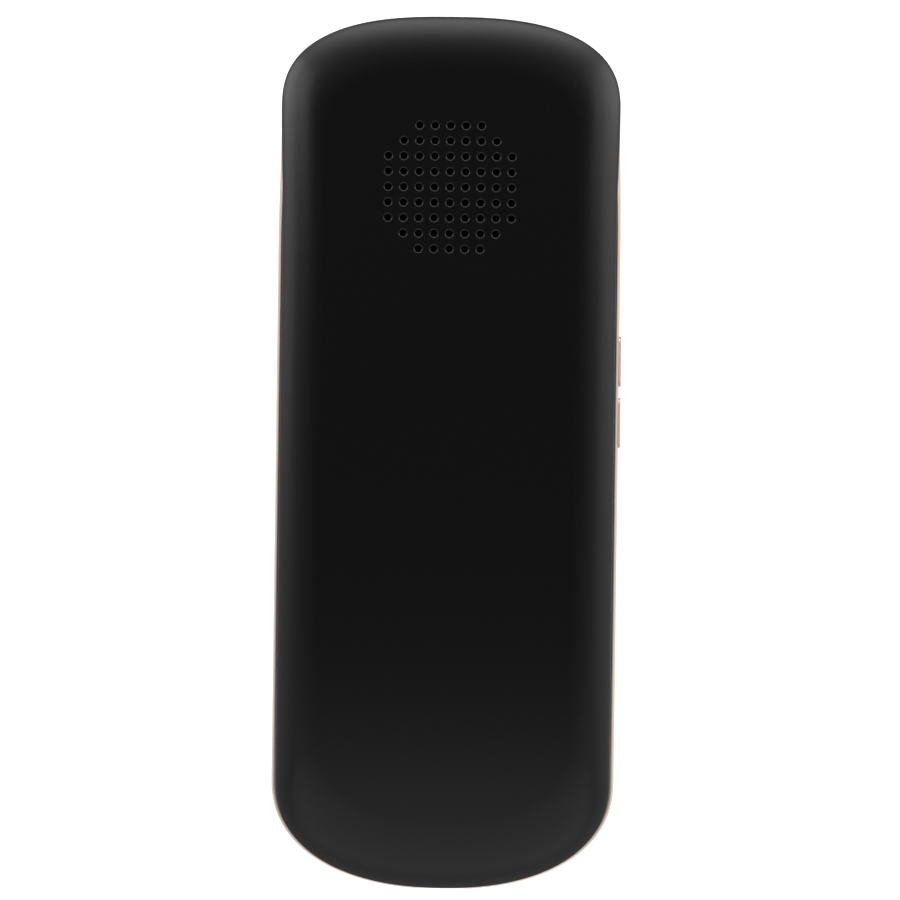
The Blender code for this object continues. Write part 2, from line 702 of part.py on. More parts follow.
def screw_places():
    rows = (
        (SCREW_X, SPEAKER_END_Y - SCREW_SPEAKER_FROM_END),
        (SCREW_X, SCREW_MIDDLE_Y),
        (SCREW_X - SCREW_CHARGING_SHIFT, CHARGING_END_Y + SCREW_CHARGING_FROM_END),
    )
    return [(side * across, along) for across, along in rows for side in (1, -1)]


def make_front_housing():
    """The tray behind the front panel: floor, wall, screw bosses, and openings for keys, light and sound."""
    outer = BODY.inset(BAND_WALL + HOUSING_FIT)
    inner = outer.inset(HOUSING_WALL)
    levels = [(outer, FLOOR_BOTTOM), (outer, HOUSING_TOP), (inner, HOUSING_TOP), (inner, FLOOR_TOP)]
    housing = lofted("front_housing", levels, "inner_black")

    boss_top = BOARD_BOTTOM - STACK_GAP
    for number, (x, y) in enumerate(screw_places(), 1):
        join(housing, cylinder(f"boss_{number}", BOSS_RADIUS, FLOOR_TOP - JOIN_OVERLAP, boss_top, x, y))
        bore_bottom = FLOOR_BOTTOM + BOSS_FLOOR
        bore_top = boss_top + CUT_OVERRUN
        cut(housing, cylinder(f"boss_bore_{number}", BOSS_BORE_RADIUS, bore_bottom, bore_top, x, y))

    low, high = FLOOR_BOTTOM - CUT_OVERRUN, FLOOR_TOP + CUT_OVERRUN
    for name, y in (("upper", TALK_UPPER_Y), ("lower", TALK_LOWER_Y)):
        radius = TALK_KEY_RADIUS + RUNNING_GAP
        cut(housing, cylinder(f"talk_opening_{name}", radius, low, high, 0, y, ROUND_KEY_STEPS))
    cut(housing, cylinder("power_opening", POWER_KEY_RADIUS + RUNNING_GAP, low, high, 0, POWER_KEY_Y))
    cut(housing, cylinder("light_opening", LIGHT_RADIUS + RUNNING_GAP, low, high, 0, LIGHT_Y))
    cut(housing, cylinder("sound_port", MICROPHONE_PORT_RADIUS, low, high, 0, MICROPHONE_Y))

    window_length = 2 * (VOLUME_KEYS_HALF + VOLUME_WINDOW_MARGIN)
    window_size = (HOUSING_WALL + 2 * CUT_OVERRUN, window_length, HOUSING_TOP - FLOOR_TOP + CUT_OVERRUN)
    window_x = SIDE_X - BAND_WALL - HOUSING_FIT - HOUSING_WALL / 2
    window_z = FLOOR_TOP + STACK_GAP + window_size[2] / 2
    cut(housing, box("key_window", window_size, (window_x, VOLUME_MIDDLE_Y, window_z)))

    gate_size = (USB_WIDTH + 2 * USB_NOTCH_GAP, USB_DEPTH, HOUSING_TOP - FLOOR_TOP + CUT_OVERRUN)
    gate_z = FLOOR_TOP + gate_size[2] / 2
    cut(housing, box("socket_gate", gate_size, (0, USB_MOUTH_Y + USB_DEPTH / 2, gate_z)))
    return housing


def make_front_panel():
    """The glossy front: flat where it rests, with its edge rolled back to the band."""
    widest = BODY.inset(PANEL_INSET)
    levels = [(widest, PANEL_THICKNESS)]
    for step in range(PANEL_EDGE_STEPS + 1):
        angle = math.radians(90) * step / PANEL_EDGE_STEPS
        outline = widest.inset(PANEL_EDGE_ROUND * (1 - math.cos(angle)))
        levels.append((outline, PANEL_EDGE_ROUND * (1 - math.sin(angle))))
    panel = lofted("front_panel", levels, "gloss_black")
    low, high = -CUT_OVERRUN, PANEL_THICKNESS + CUT_OVERRUN
    ring_opening = TALK_KEY_RADIUS + RUNNING_GAP + TALK_RING_WIDTH + STACK_GAP
    for name, y in (("upper", TALK_UPPER_Y), ("lower", TALK_LOWER_Y)):
        cut(panel, cylinder(f"ring_opening_{name}", ring_opening, low, high, 0, y, ROUND_KEY_STEPS))
    cut(panel, cylinder("power_hole", POWER_KEY_RADIUS + RUNNING_GAP, low, high, 0, POWER_KEY_Y))
    cut(panel, cylinder("light_hole", LIGHT_RADIUS + RUNNING_GAP, low, high, 0, LIGHT_Y))
    cut(panel, cylinder("sound_hole", MICROPHONE_PORT_RADIUS, low, high, 0, MICROPHONE_Y))
    return panel


def make_panel_adhesive():
    """A thin sheet of adhesive with a window round everything that passes through the panel."""
    outline = BODY.inset(ADHESIVE_INSET)
    top = ADHESIVE_BOTTOM + ADHESIVE_THICKNESS
    adhesive = lofted("panel_adhesive", [(outline, top), (outline, ADHESIVE_BOTTOM)], "black_rubber")
    low, high = ADHESIVE_BOTTOM - CUT_OVERRUN, top + CUT_OVERRUN
    ring_window = TALK_KEY_RADIUS + TALK_RING_WIDTH + ADHESIVE_MARGIN
    windows = (
        ("talk_upper", TALK_UPPER_Y, ring_window, ROUND_KEY_STEPS),
        ("talk_lower", TALK_LOWER_Y, ring_window, ROUND_KEY_STEPS),
        ("power", POWER_KEY_Y, POWER_KEY_RADIUS + ADHESIVE_MARGIN, SMALL_ROUND_STEPS),
        ("light", LIGHT_Y, LIGHT_RADIUS + ADHESIVE_MARGIN, SMALL_ROUND_STEPS),
        ("sound", MICROPHONE_Y, MICROPHONE_PORT_RADIUS + ADHESIVE_MARGIN, SMALL_ROUND_STEPS),
    )
    for name, y, radius, sides in windows:
        cut(adhesive, cylinder(f"{name}_window", radius, low, high, 0, y, sides))
    return adhesive


def round_key_profile(radius, recess, dish):
    """A key's half section: retaining flange behind the housing floor, shank, and a dished face."""
    flange = radius + KEY_FLANGE_REACH
    profile = [
        (0, FLANGE_TOP),
        (flange, FLANGE_TOP),
        (flange, FLANGE_BOTTOM),
        (radius, FLANGE_BOTTOM),
        (radius, recess + KEY_EDGE),
    ]
    for step in range(DISH_STEPS + 1):
        share = 1 - step / DISH_STEPS
        profile.append(((radius - KEY_EDGE) * share, recess + dish * (1 - share**2)))
    return profile


def make_round_keys():
    talk = round_key_profile(TALK_KEY_RADIUS, TALK_KEY_RECESS, TALK_KEY_DISH)
    power = round_key_profile(POWER_KEY_RADIUS, TALK_KEY_RECESS, POWER_KEY_DISH)
    inner = TALK_KEY_RADIUS + RUNNING_GAP
    outer = inner + TALK_RING_WIDTH
    ring = [
        (inner, PANEL_THICKNESS),
        (outer, PANEL_THICKNESS),
        (outer, TALK_RING_RECESS),
        (inner + KEY_EDGE, TALK_RING_RECESS),
        (inner, TALK_RING_RECESS + KEY_EDGE),
    ]
    for name, y in (("upper", TALK_UPPER_Y), ("lower", TALK_LOWER_Y)):
        turned(f"talk_key_{name}", talk, ROUND_KEY_STEPS, 0, y, "soft_black")
        turned(f"key_ring_{name}", ring, ROUND_KEY_STEPS, 0, y, "rose_gold")
        make_front_switch(f"talk_switch_{name}", f"talk_stem_{name}", y)
    turned("power_key", power, SMALL_ROUND_STEPS, 0, POWER_KEY_Y, "rose_gold")
    make_front_switch("power_switch", "power_stem", POWER_KEY_Y)


def make_front_switch(body_name, stem_name, y):
    """A tact switch under the board: its stem stands on the key's back and sinks into a pocket."""
    top = BOARD_BOTTOM - SOLDER_GAP
    centre = (0, y, (SWITCH_BOTTOM + top) / 2)
    body = box(body_name, (SWITCH_SIDE, SWITCH_SIDE, top - SWITCH_BOTTOM), centre, "dark_steel")
    stem_top = SWITCH_BOTTOM + STEM_ENGAGEMENT
    pocket_top = stem_top + TALK_KEY_TRAVEL + STACK_GAP
    pocket_radius = STEM_RADIUS + STACK_GAP
    pocket = cylinder(f"{body_name}_pocket", pocket_radius, SWITCH_BOTTOM - CUT_OVERRUN, pocket_top, 0, y)
    cut(body, pocket)
    stem = cylinder(stem_name, STEM_RADIUS, FLANGE_TOP + STACK_GAP, stem_top, 0, y, finish="chip_black")
    set_origin(stem, (0, y, stem_top))


def make_volume_key(name, y):
    """One side key: a pill cap through the band, a flange behind it, and a nub that meets the switch."""
    inner_face = SIDE_X - BAND_WALL
    flange_outer = inner_face - RUNNING_GAP
    flange_inner = flange_outer - VOLUME_FLANGE_THICKNESS
    nub_tip = flange_inner - VOLUME_NUB_DEPTH
    tip = SIDE_X + VOLUME_KEY_PROUD
    root = flange_outer - VOLUME_FLANGE_THICKNESS / 2
    place = Matrix.Translation(((tip + root) / 2, y, VOLUME_KEY_Z)) @ SIDEWAYS
    outline = pill(VOLUME_KEY_LENGTH, VOLUME_KEY_HEIGHT)
    key = extruded(f"volume_{name}_key", [outline], tip - root, place, "rose_gold")
    bevel(key, VOLUME_KEY_EDGE)
    flange_size = (
        VOLUME_FLANGE_THICKNESS,
        VOLUME_KEY_LENGTH + 2 * VOLUME_FLANGE_REACH,
        VOLUME_KEY_HEIGHT,
    )
    flange = box(f"volume_{name}_flange", flange_size, ((flange_outer + flange_inner) / 2, y, VOLUME_KEY_Z))
    nub_length = VOLUME_NUB_DEPTH + JOIN_OVERLAP
    nub_size = (nub_length, VOLUME_NUB_LENGTH, VOLUME_NUB_HEIGHT)
    nub = box(f"volume_{name}_nub", nub_size, (nub_tip + nub_length / 2, y, VOLUME_KEY_Z))
    join(key, flange, nub)
    set_origin(key, (tip, y, VOLUME_KEY_Z))

    stem_tip = nub_tip - STACK_GAP
    body_face = stem_tip - SIDE_STEM_REACH
    make_side_switch(name, y, stem_tip, body_face)


def make_side_switch(name, y, stem_tip, body_face):
    """A side tact switch at the board's edge: its stem slides into a pocket when the key is pressed."""
    size = (SIDE_SWITCH_DEPTH, SIDE_SWITCH_LENGTH, SIDE_SWITCH_HEIGHT)
    centre = (body_face - SIDE_SWITCH_DEPTH / 2, y, VOLUME_KEY_Z)
    body = box(f"volume_{name}_switch", size, centre, "dark_steel")
    stem_root = body_face - STEM_ENGAGEMENT
    stem_size = (stem_tip - stem_root, SIDE_STEM_LENGTH, SIDE_STEM_HEIGHT)
    stem = box(f"volume_{name}_stem", stem_size, ((stem_tip + stem_root) / 2, y, VOLUME_KEY_Z), "chip_black")
    pocket_root = stem_root - VOLUME_KEY_TRAVEL - STACK_GAP
    pocket_mouth = body_face + CUT_OVERRUN
    pocket_size = (
        pocket_mouth - pocket_root,
        SIDE_STEM_LENGTH + 2 * STACK_GAP,
        SIDE_STEM_HEIGHT + 2 * STACK_GAP,
    )
    pocket_centre = ((pocket_mouth + pocket_root) / 2, y, VOLUME_KEY_Z)
    cut(body, box(f"volume_{name}_pocket", pocket_size, pocket_centre))
    set_origin(stem, (stem_tip, y, VOLUME_KEY_Z))


def make_board():
    """The main board, notched round the socket and drilled for its screws."""
    outline = BODY.inset(BOARD_INSET)
    board = lofted("main_board", [(outline, BOARD_TOP), (outline, BOARD_BOTTOM)], "board_green")
    low, high = BOARD_BOTTOM - CUT_OVERRUN, BOARD_TOP + CUT_OVERRUN
    for number, (x, y) in enumerate(screw_places(), 1):
        cut(board, cylinder(f"board_hole_{number}", BOARD_SCREW_RADIUS, low, high, x, y))
    notch_length = USB_DEPTH + USB_NOTCH_GAP + CUT_OVERRUN
    notch_size = (USB_WIDTH + 2 * USB_NOTCH_GAP, notch_length, BOARD_THICKNESS + 2 * CUT_OVERRUN)
    notch_y = USB_MOUTH_Y + USB_DEPTH + USB_NOTCH_GAP - notch_length / 2
    cut(board, box("socket_notch", notch_size, (0, notch_y, (BOARD_BOTTOM + BOARD_TOP) / 2)))

    on_board = BOARD_TOP + SOLDER_GAP
    can_size = (SHIELD_WIDTH, SHIELD_LENGTH, SHIELD_HEIGHT)
    can = box("shield_can", can_size, (0, SHIELD_Y, on_board + SHIELD_HEIGHT / 2), "tinned_steel")
    hollow_height = SHIELD_HEIGHT - SHIELD_WALL + CUT_OVERRUN
    hollow_size = (SHIELD_WIDTH - 2 * SHIELD_WALL, SHIELD_LENGTH - 2 * SHIELD_WALL, hollow_height)
    hollow_z = on_board + SHIELD_HEIGHT - SHIELD_WALL - hollow_height / 2
    cut(can, box("shield_hollow", hollow_size, (0, SHIELD_Y, hollow_z)))
    chip_size = (PROCESSOR_SIDE, PROCESSOR_SIDE, PROCESSOR_HEIGHT)
    box("processor_chip", chip_size, (0, SHIELD_Y, on_board + PROCESSOR_HEIGHT / 2), "chip_black")

    radio_size = (RADIO_WIDTH, RADIO_LENGTH, RADIO_HEIGHT)
    radio_y = SPEAKER_END_Y - RADIO_FROM_END
    box("radio_module", radio_size, (0, radio_y, on_board + RADIO_HEIGHT / 2), "tinned_steel")

    amplifier_size = (AMPLIFIER_SIDE, AMPLIFIER_SIDE, AMPLIFIER_HEIGHT)
    amplifier_z = BOARD_BOTTOM - SOLDER_GAP - AMPLIFIER_HEIGHT / 2
    box("amplifier_chip", amplifier_size, (AMPLIFIER_FROM_KEY, POWER_KEY_Y, amplifier_z), "chip_black")
    return board


def socket_outline(margin):
    """The micro socket's section: wide at the board side, with cut lower corners."""
    half_width = USB_WIDTH / 2 - margin
    half_height = USB_HEIGHT / 2 - margin
    corner = USB_CORNER
    return [
        (-half_width, half_height),
        (-half_width, corner - half_height),
        (corner - half_width, -half_height),
        (half_width - corner, -half_height),
        (half_width, corner - half_height),
        (half_width, half_height),
    ]


def make_usb_socket():
    shell_y = USB_MOUTH_Y + USB_DEPTH / 2
    place = Matrix.Translation((0, shell_y, USB_Z)) @ UPRIGHT
    loops = [socket_outline(0), socket_outline(USB_WALL)]
    extruded("usb_socket_shell", loops, USB_DEPTH, place, "tinned_steel")

    core_y = USB_MOUTH_Y + USB_DEPTH - USB_BACK / 2
    place = Matrix.Translation((0, core_y, USB_Z)) @ UPRIGHT
    core_outline = [socket_outline(USB_WALL + USB_CORE_GAP)]
    core = extruded("usb_socket_tongue", core_outline, USB_BACK, place, "chip_black")
    tongue_length = USB_TONGUE_REACH + JOIN_OVERLAP
    tongue_size = (USB_TONGUE_WIDTH, tongue_length, USB_TONGUE_THICKNESS)
    tongue_y = USB_MOUTH_Y + USB_DEPTH - USB_BACK - USB_TONGUE_REACH + tongue_length / 2
    join(core, box("tongue_blade", tongue_size, (0, tongue_y, USB_Z + USB_TONGUE_RISE)))


def make_microphone_and_light():
    top = BOARD_BOTTOM - SOLDER_GAP
    boot_bottom = FLOOR_TOP + STACK_GAP
    capsule_bottom = boot_bottom + BOOT_FLOOR + STACK_GAP
    radius = MICROPHONE_RADIUS
    cylinder("microphone_capsule", radius, capsule_bottom, top, 0, MICROPHONE_Y, finish="tinned_steel")
    inner = MICROPHONE_RADIUS + STACK_GAP
    boot = [
        (inner, top),
        (inner + BOOT_WALL, top),
        (inner + BOOT_WALL, boot_bottom),
        (MICROPHONE_PORT_RADIUS, boot_bottom),
        (MICROPHONE_PORT_RADIUS, boot_bottom + BOOT_FLOOR),
        (inner, boot_bottom + BOOT_FLOOR),
    ]
    turned("microphone_boot", boot, SMALL_ROUND_STEPS, 0, MICROPHONE_Y, "black_rubber")

    led_centre = (0, LIGHT_Y, top - LED_HEIGHT / 2)
    box("status_led", (LED_LENGTH, LED_WIDTH, LED_HEIGHT), led_centre, "white_plastic")
    flange = LIGHT_RADIUS + LIGHT_FLANGE_REACH
    pipe_top = FLANGE_BOTTOM + LIGHT_FLANGE_THICKNESS
    pipe = [
        (0, pipe_top),
        (flange, pipe_top),
        (flange, FLANGE_BOTTOM),
        (LIGHT_RADIUS, FLANGE_BOTTOM),
        (LIGHT_RADIUS, LIGHT_RECESS),
        (0, LIGHT_RECESS),
    ]
    turned("light_pipe", pipe, SMALL_ROUND_STEPS, 0, LIGHT_Y, "clear_plastic")


def make_battery():
    tape_size = (CELL_WIDTH - CELL_TAPE_MARGIN, CELL_LENGTH - CELL_TAPE_MARGIN, CELL_TAPE_THICKNESS)
    tape_z = BOARD_TOP + STACK_GAP + CELL_TAPE_THICKNESS / 2
    box("battery_tape", tape_size, (0, CELL_Y, tape_z), "white_plastic")
    cell_size = (CELL_WIDTH, CELL_LENGTH, CELL_THICKNESS)
    cell = box("battery_cell", cell_size, (0, CELL_Y, (CELL_BOTTOM + CELL_TOP) / 2), "pouch_silver")
    bevel(cell, CELL_EDGE)
    guard_size = (GUARD_BOARD_WIDTH, GUARD_BOARD_LENGTH, GUARD_BOARD_HEIGHT)
    guard_z = CELL_BOTTOM + GUARD_BOARD_HEIGHT / 2
    box("battery_guard_board", guard_size, (0, GUARD_Y, guard_z), "amber_tape")

    socket_x = -(BOARD_SIDE_X - SOCKET_FROM_SIDE)
    socket_y = CELL_HIGH_Y + SOCKET_FROM_CELL
    socket_z = BOARD_TOP + SOLDER_GAP + SOCKET_HEIGHT / 2
    size = (SOCKET_LENGTH, SOCKET_WIDTH, SOCKET_HEIGHT)
    socket = box("battery_socket", size, (socket_x, socket_y, socket_z), "white_plastic")
    mouth_length = SOCKET_LENGTH - SOCKET_WALL + CUT_OVERRUN
    mouth_size = (mouth_length, SOCKET_WIDTH - 2 * SOCKET_WALL, SOCKET_HEIGHT - 2 * SOCKET_WALL)
    mouth_x = socket_x - SOCKET_LENGTH / 2 + SOCKET_WALL + mouth_length / 2
    cut(socket, box("battery_socket_mouth", mouth_size, (mouth_x, socket_y, socket_z)))
    plug_size = (PLUG_LENGTH, mouth_size[1] - 2 * PLUG_GAP, mouth_size[2] - 2 * PLUG_GAP)
    plug_x = socket_x + SOCKET_LENGTH / 2 + PLUG_PROUD - PLUG_LENGTH / 2
    box("battery_plug", plug_size, (plug_x, socket_y, socket_z), "white_plastic")

    guard_face = GUARD_Y + GUARD_BOARD_LENGTH / 2 + STACK_GAP
    plug_face = plug_x + PLUG_LENGTH / 2 + STACK_GAP
    tab_x = BATTERY_LEAD_FROM_CORNER - GUARD_BOARD_WIDTH / 2
    for name, side in (("red", 1), ("black", -1)):
        start = Vector((plug_face, socket_y + side * LEAD_SPREAD, socket_z))
        end = Vector((tab_x + side * LEAD_SPREAD, guard_face, guard_z))
        lead(f"battery_lead_{name}", start, Vector((1, 0, 0)), end, Vector((0, 1, 0)), f"{name}_insulation")


def make_speaker():
    """The speaker, face up under the grille: mesh, gasket, frame with its magnet, and cone."""
    mesh_top = COVER_CEILING - STACK_GAP
    mesh_bottom = mesh_top - MESH_THICKNESS
    cylinder("speaker_mesh", SPEAKER_RADIUS, mesh_bottom, mesh_top, 0, SPEAKER_Y, SPEAKER_STEPS, "grey_foam")
    gasket_top = mesh_bottom - STACK_GAP
    gasket_bottom = gasket_top - GASKET_THICKNESS
    gasket = [
        circle(0, SPEAKER_Y, SPEAKER_RADIUS, SPEAKER_STEPS),
        circle(0, SPEAKER_Y, SPEAKER_RADIUS - GASKET_WIDTH, SPEAKER_STEPS),
    ]
    plate("speaker_gasket", gasket, gasket_bottom, GASKET_THICKNESS, "grey_foam")

    front = gasket_bottom - STACK_GAP
    back = BOARD_TOP + STACK_GAP
    magnet_top = back + MAGNET_HEIGHT
    throat = SPEAKER_THROAT_RADIUS
    seat = magnet_top + STACK_GAP
    shoulder = front - CONE_DROP - CONE_THICKNESS - CONE_TRAVEL - STACK_GAP
    frame = [
        (CONE_RADIUS + STACK_GAP, front),
        (SPEAKER_RADIUS, front),
        (SPEAKER_RADIUS, front - SPEAKER_FLANGE),
        (throat + SPEAKER_WALL, front - SPEAKER_FLANGE - SPEAKER_WALL),
        (throat, seat),
        (DOME_RADIUS, seat),
        (DOME_RADIUS, seat + SPEAKER_WALL),
        (throat - SPEAKER_WALL, seat + SPEAKER_WALL),
        (CONE_RADIUS + STACK_GAP, shoulder),
    ]
    turned("speaker_frame", frame, SPEAKER_STEPS, 0, SPEAKER_Y, "chip_black")
    cylinder("speaker_magnet", MAGNET_RADIUS, back, magnet_top, 0, SPEAKER_Y, SPEAKER_STEPS, "tinned_steel")
    rim = front - CONE_DROP
    face = []
    for step in range(DOME_STEPS + 1):
        share = step / DOME_STEPS
        face.append((DOME_RADIUS * share, rim - CONE_DEPTH * share**2))
    face += [(CONE_RADIUS - CONE_SURROUND, rim), (CONE_RADIUS, rim)]
    underside = [(radius, z - CONE_THICKNESS) for radius, z in reversed(face)]
    turned("speaker_cone", face + underside, SPEAKER_STEPS, 0, SPEAKER_Y, "paper_cone")

    pad_z = BOARD_TOP + SOLDER_GAP + LEAD_RADIUS
    start_y = SPEAKER_Y - throat - LEAD_RADIUS
    start_z = magnet_top
    for name, side in (("red", 1), ("black", -1)):
        start = Vector((side * LEAD_SPREAD, start_y, start_z))
        pad = Vector((SPEAKER_PAD_OFFSET + side * LEAD_SPREAD, WELL_EDGE_Y - SPEAKER_PAD_FROM_WELL, pad_z))
        lead(f"speaker_lead_{name}", start, Vector((0, -1, 0)), pad, Vector((0, 1, 0)), f"{name}_insulation")


def lead(name, start, leaving, end, arriving, finish):
    """A short insulated lead: a smooth curve that leaves both ends straight."""
    first = start + leaving * LEAD_REACH
    second = end + arriving * LEAD_REACH
    curve = bpy.data.curves.new(name, "CURVE")
    curve.dimensions = "3D"
    curve.bevel_depth = LEAD_RADIUS
    curve.bevel_resolution = LEAD_SIDES_LEVEL
    curve.use_fill_caps = True
    spline = curve.splines.new("POLY")
    spline.points.add(LEAD_POINTS - 1)
    for k, knot in enumerate(spline.points):
        t = k / (LEAD_POINTS - 1)
        u = 1 - t
        place = u**3 * start + 3 * u * u * t * first + 3 * u * t * t * second + t**3 * end
        knot.co = (*place, 1)
    curve.materials.append(material_for(name, finish))
    obj = bpy.data.objects.new(name, curve)
    PARTS.objects.link(obj)
    return obj


def make_screws():
    """Six identical screws that hold the board to the housing's bosses."""
    seat = BOARD_TOP + STACK_GAP
    profile = [
        (0, seat + SCREW_HEAD_HEIGHT),
        (SCREW_HEAD_RADIUS, seat + SCREW_HEAD_HEIGHT),
        (SCREW_HEAD_RADIUS, seat),
        (SCREW_SHANK_RADIUS, seat),
        (SCREW_SHANK_RADIUS, seat - SCREW_LENGTH),
        (0, seat - SCREW_LENGTH),
    ]
    blank = turned("screw_blank", profile, SMALL_ROUND_STEPS, 0, 0)
    recess_height = SCREW_RECESS_DEPTH + CUT_OVERRUN
    recess_z = seat + SCREW_HEAD_HEIGHT - SCREW_RECESS_DEPTH + recess_height / 2
    slot_sizes = (
        (SCREW_RECESS_LENGTH, SCREW_RECESS_WIDTH, recess_height),
        (SCREW_RECESS_WIDTH, SCREW_RECESS_LENGTH, recess_height),
    )
    for number, size in enumerate(slot_sizes):
        cut(blank, box(f"screw_recess_{number}", size, (0, 0, recess_z)))
    mesh = evaluated_mesh(blank, "board_screw")
    for number, (x, y) in enumerate(screw_places(), 1):
        screw = add_object(f"board_screw_{number}", mesh, "dark_steel")
        screw.location = (x, y, 0)


make_band()
make_rear_cover()
make_front_housing()
make_front_panel()
make_panel_adhesive()
make_round_keys()
make_volume_key("up", VOLUME_UP_Y)
make_volume_key("down", VOLUME_DOWN_Y)
make_board()
make_usb_socket()
make_microphone_and_light()
make_battery()
make_speaker()
make_screws()
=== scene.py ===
import math

import bmesh
import bpy
from mathutils import Matrix, Vector


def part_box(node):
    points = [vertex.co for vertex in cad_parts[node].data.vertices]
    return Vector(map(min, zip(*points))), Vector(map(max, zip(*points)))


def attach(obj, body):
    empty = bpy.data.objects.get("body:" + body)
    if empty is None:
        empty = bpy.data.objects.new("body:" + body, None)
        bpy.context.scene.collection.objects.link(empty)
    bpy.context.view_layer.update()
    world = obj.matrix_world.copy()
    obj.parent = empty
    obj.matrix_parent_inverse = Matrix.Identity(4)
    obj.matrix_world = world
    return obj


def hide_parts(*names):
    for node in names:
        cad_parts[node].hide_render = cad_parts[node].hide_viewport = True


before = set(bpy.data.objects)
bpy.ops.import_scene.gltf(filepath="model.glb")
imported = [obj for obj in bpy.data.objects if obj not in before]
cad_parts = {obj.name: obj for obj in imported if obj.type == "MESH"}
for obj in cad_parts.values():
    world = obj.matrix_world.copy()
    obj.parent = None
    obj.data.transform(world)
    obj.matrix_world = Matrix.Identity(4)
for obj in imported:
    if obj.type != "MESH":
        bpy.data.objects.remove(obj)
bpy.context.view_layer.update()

# A handheld voice translator lying on its front panel. +Z comes out of its back, +Y points to its
# speaker end, and the volume keys are on its +X side. Lengths are in metres.
MM = 0.001
MERGE_DISTANCE = 0.0005 * MM

# Plan of the body: straight sides between two rounded ends, each half a superellipse
SPEAKER_END_DEPTH = 15.55 * MM
CHARGING_END_DEPTH = 17.65 * MM
SPEAKER_END_POWER = 2.62
CHARGING_END_POWER = 2.25
END_STEPS = 96

# Towards its speaker end the cover widens and the band narrows, until the cover hides the band
FLARE_TO = 57.0 * MM
FLARE_FOOT = 30.0 * MM
FLARE_STEPS = 10
BAND_FLARE = -0.33 * MM
BAND_FLARE_FROM = 34.0 * MM
COVER_FLARE = 0.38 * MM
COVER_FLARE_FROM = 36.5 * MM

# Rear cover. Its rim stands this much further out at the speaker end than its CAD solid, and its roll
# starts above an upright land
COVER_SPEAKER_REACH = 0.1 * MM
COVER_SPEAKER_POWER = 2.6
COVER_END_INSET = 0.35 * MM
COVER_SEAM = 0.15 * MM
COVER_LAND = 0.5 * MM
ROLL_START = math.radians(20)
SIDE_ROLL = 7.2 * MM
SPEAKER_END_ROLL = 8.8 * MM
CHARGING_END_ROLL = 10.5 * MM
CREST_SPEAKER_DEPTH = 11.0 * MM
CREST_CHARGING_DEPTH = 13.0 * MM
ROLL_STEPS = 28
COVER_WALL = 1.4 * MM
COVER_RIM_WALL = 1.3 * MM
LIP_WALL = 0.8 * MM
LIP_FIT = 0.15 * MM
LIP_ROOT = 0.6 * MM
INNER_ROLL_STEPS = 10
INNER_ROLL_START = 4

# Speaker grille: a square grid of round holes with its corners left out
GRILLE_PITCH = 2.5 * MM
GRILLE_REACH = 4
GRILLE_DIAGONAL = 6
GRILLE_HOLE_RADIUS = 0.57 * MM
GRILLE_HOLE_BEVEL = 0.2 * MM
GRILLE_HOLE_EASE = 0.06 * MM
GRILLE_HOLE_SIDES = 24
HOLE_ROUND_STEPS = 4

# The dark line between cover and band: a gap over a ledge in the band
SHADOW_GAP = 0.12 * MM
SHADOW_GAP_DEPTH = 0.5 * MM

# Metal band
BAND_WALL = 1.4 * MM
BAND_CROWN = 0.34 * MM
BAND_EDGE = 0.24 * MM
BAND_STEPS = 20
BAND_EDGE_STEPS = 4

# Volume keys
VOLUME_KEY_LENGTH = 8.3 * MM
VOLUME_KEY_HEIGHT = 2.2 * MM
VOLUME_KEY_BEVEL = 0.5 * MM
VOLUME_KEY_END_BEVEL = 0.2 * MM
VOLUME_KEY_EASE = 0.06 * MM
VOLUME_FLANGE_THICKNESS = 0.6 * MM
VOLUME_FLANGE_REACH = 0.6 * MM
VOLUME_NUB_LENGTH = 2.0 * MM
VOLUME_NUB_HEIGHT = 1.0 * MM
RUNNING_GAP = 0.15 * MM
PILL_STEPS = 16

# Front panel, its keys and its openings
PANEL_INSET = 0.45 * MM
PANEL_EDGE_ROUND = 0.75 * MM
PANEL_EDGE_STEPS = 10
PANEL_HOLE_ROUND = 0.06 * MM
STACK_GAP = 0.1 * MM
KEY_FLANGE_REACH = 1.0 * MM
KEY_FLANGE_THICKNESS = 0.4 * MM
KEY_EDGE = 0.2 * MM
KEY_EDGE_STEPS = 4
KEY_DISH_STEPS = 14
TALK_KEY_DISH = 0.35 * MM
POWER_KEY_DISH = 0.15 * MM
KEY_RING_WIDTH = 0.85 * MM
LIGHT_FLANGE_REACH = 0.6 * MM
LIGHT_FLANGE_THICKNESS = 0.4 * MM
LIGHT_EDGE = 0.1 * MM
MICROPHONE_PORT_RADIUS = 0.5 * MM
ROUND_STEPS = 96
SMALL_ROUND_STEPS = 48

# Charging socket
PORT_WIDTH = 9.0 * MM
PORT_HEIGHT = 3.9 * MM
SOCKET_WALL = 0.25 * MM
SOCKET_CORNER = 0.7 * MM
SOCKET_CORNER_ROUND = 0.25 * MM
SOCKET_BACK = 1.2 * MM
SOCKET_CORE_GAP = 0.1 * MM
TONGUE_WIDTH = 4.6 * MM
TONGUE_THICKNESS = 0.6 * MM
TONGUE_REACH = 3.4 * MM
TONGUE_RISE = 0.35 * MM
TONGUE_EDGE = 0.08 * MM
CONTACT_COUNT = 5
CONTACT_PITCH = 0.65 * MM
CONTACT_WIDTH = 0.35 * MM
CONTACT_THICKNESS = 0.06 * MM
CONTACT_LENGTH = 2.6 * MM

# Shared by many pieces
CUT_OVERRUN = 1.0 * MM
BEVEL_TILT = math.radians(36)
BEVEL_EASE_STEPS = 3
SMALL_BEVEL_STEPS = 3
SHARP_ANGLE = math.radians(32)
LARGE_FACE_WEIGHT = 100
SCREW_COUNT = 6

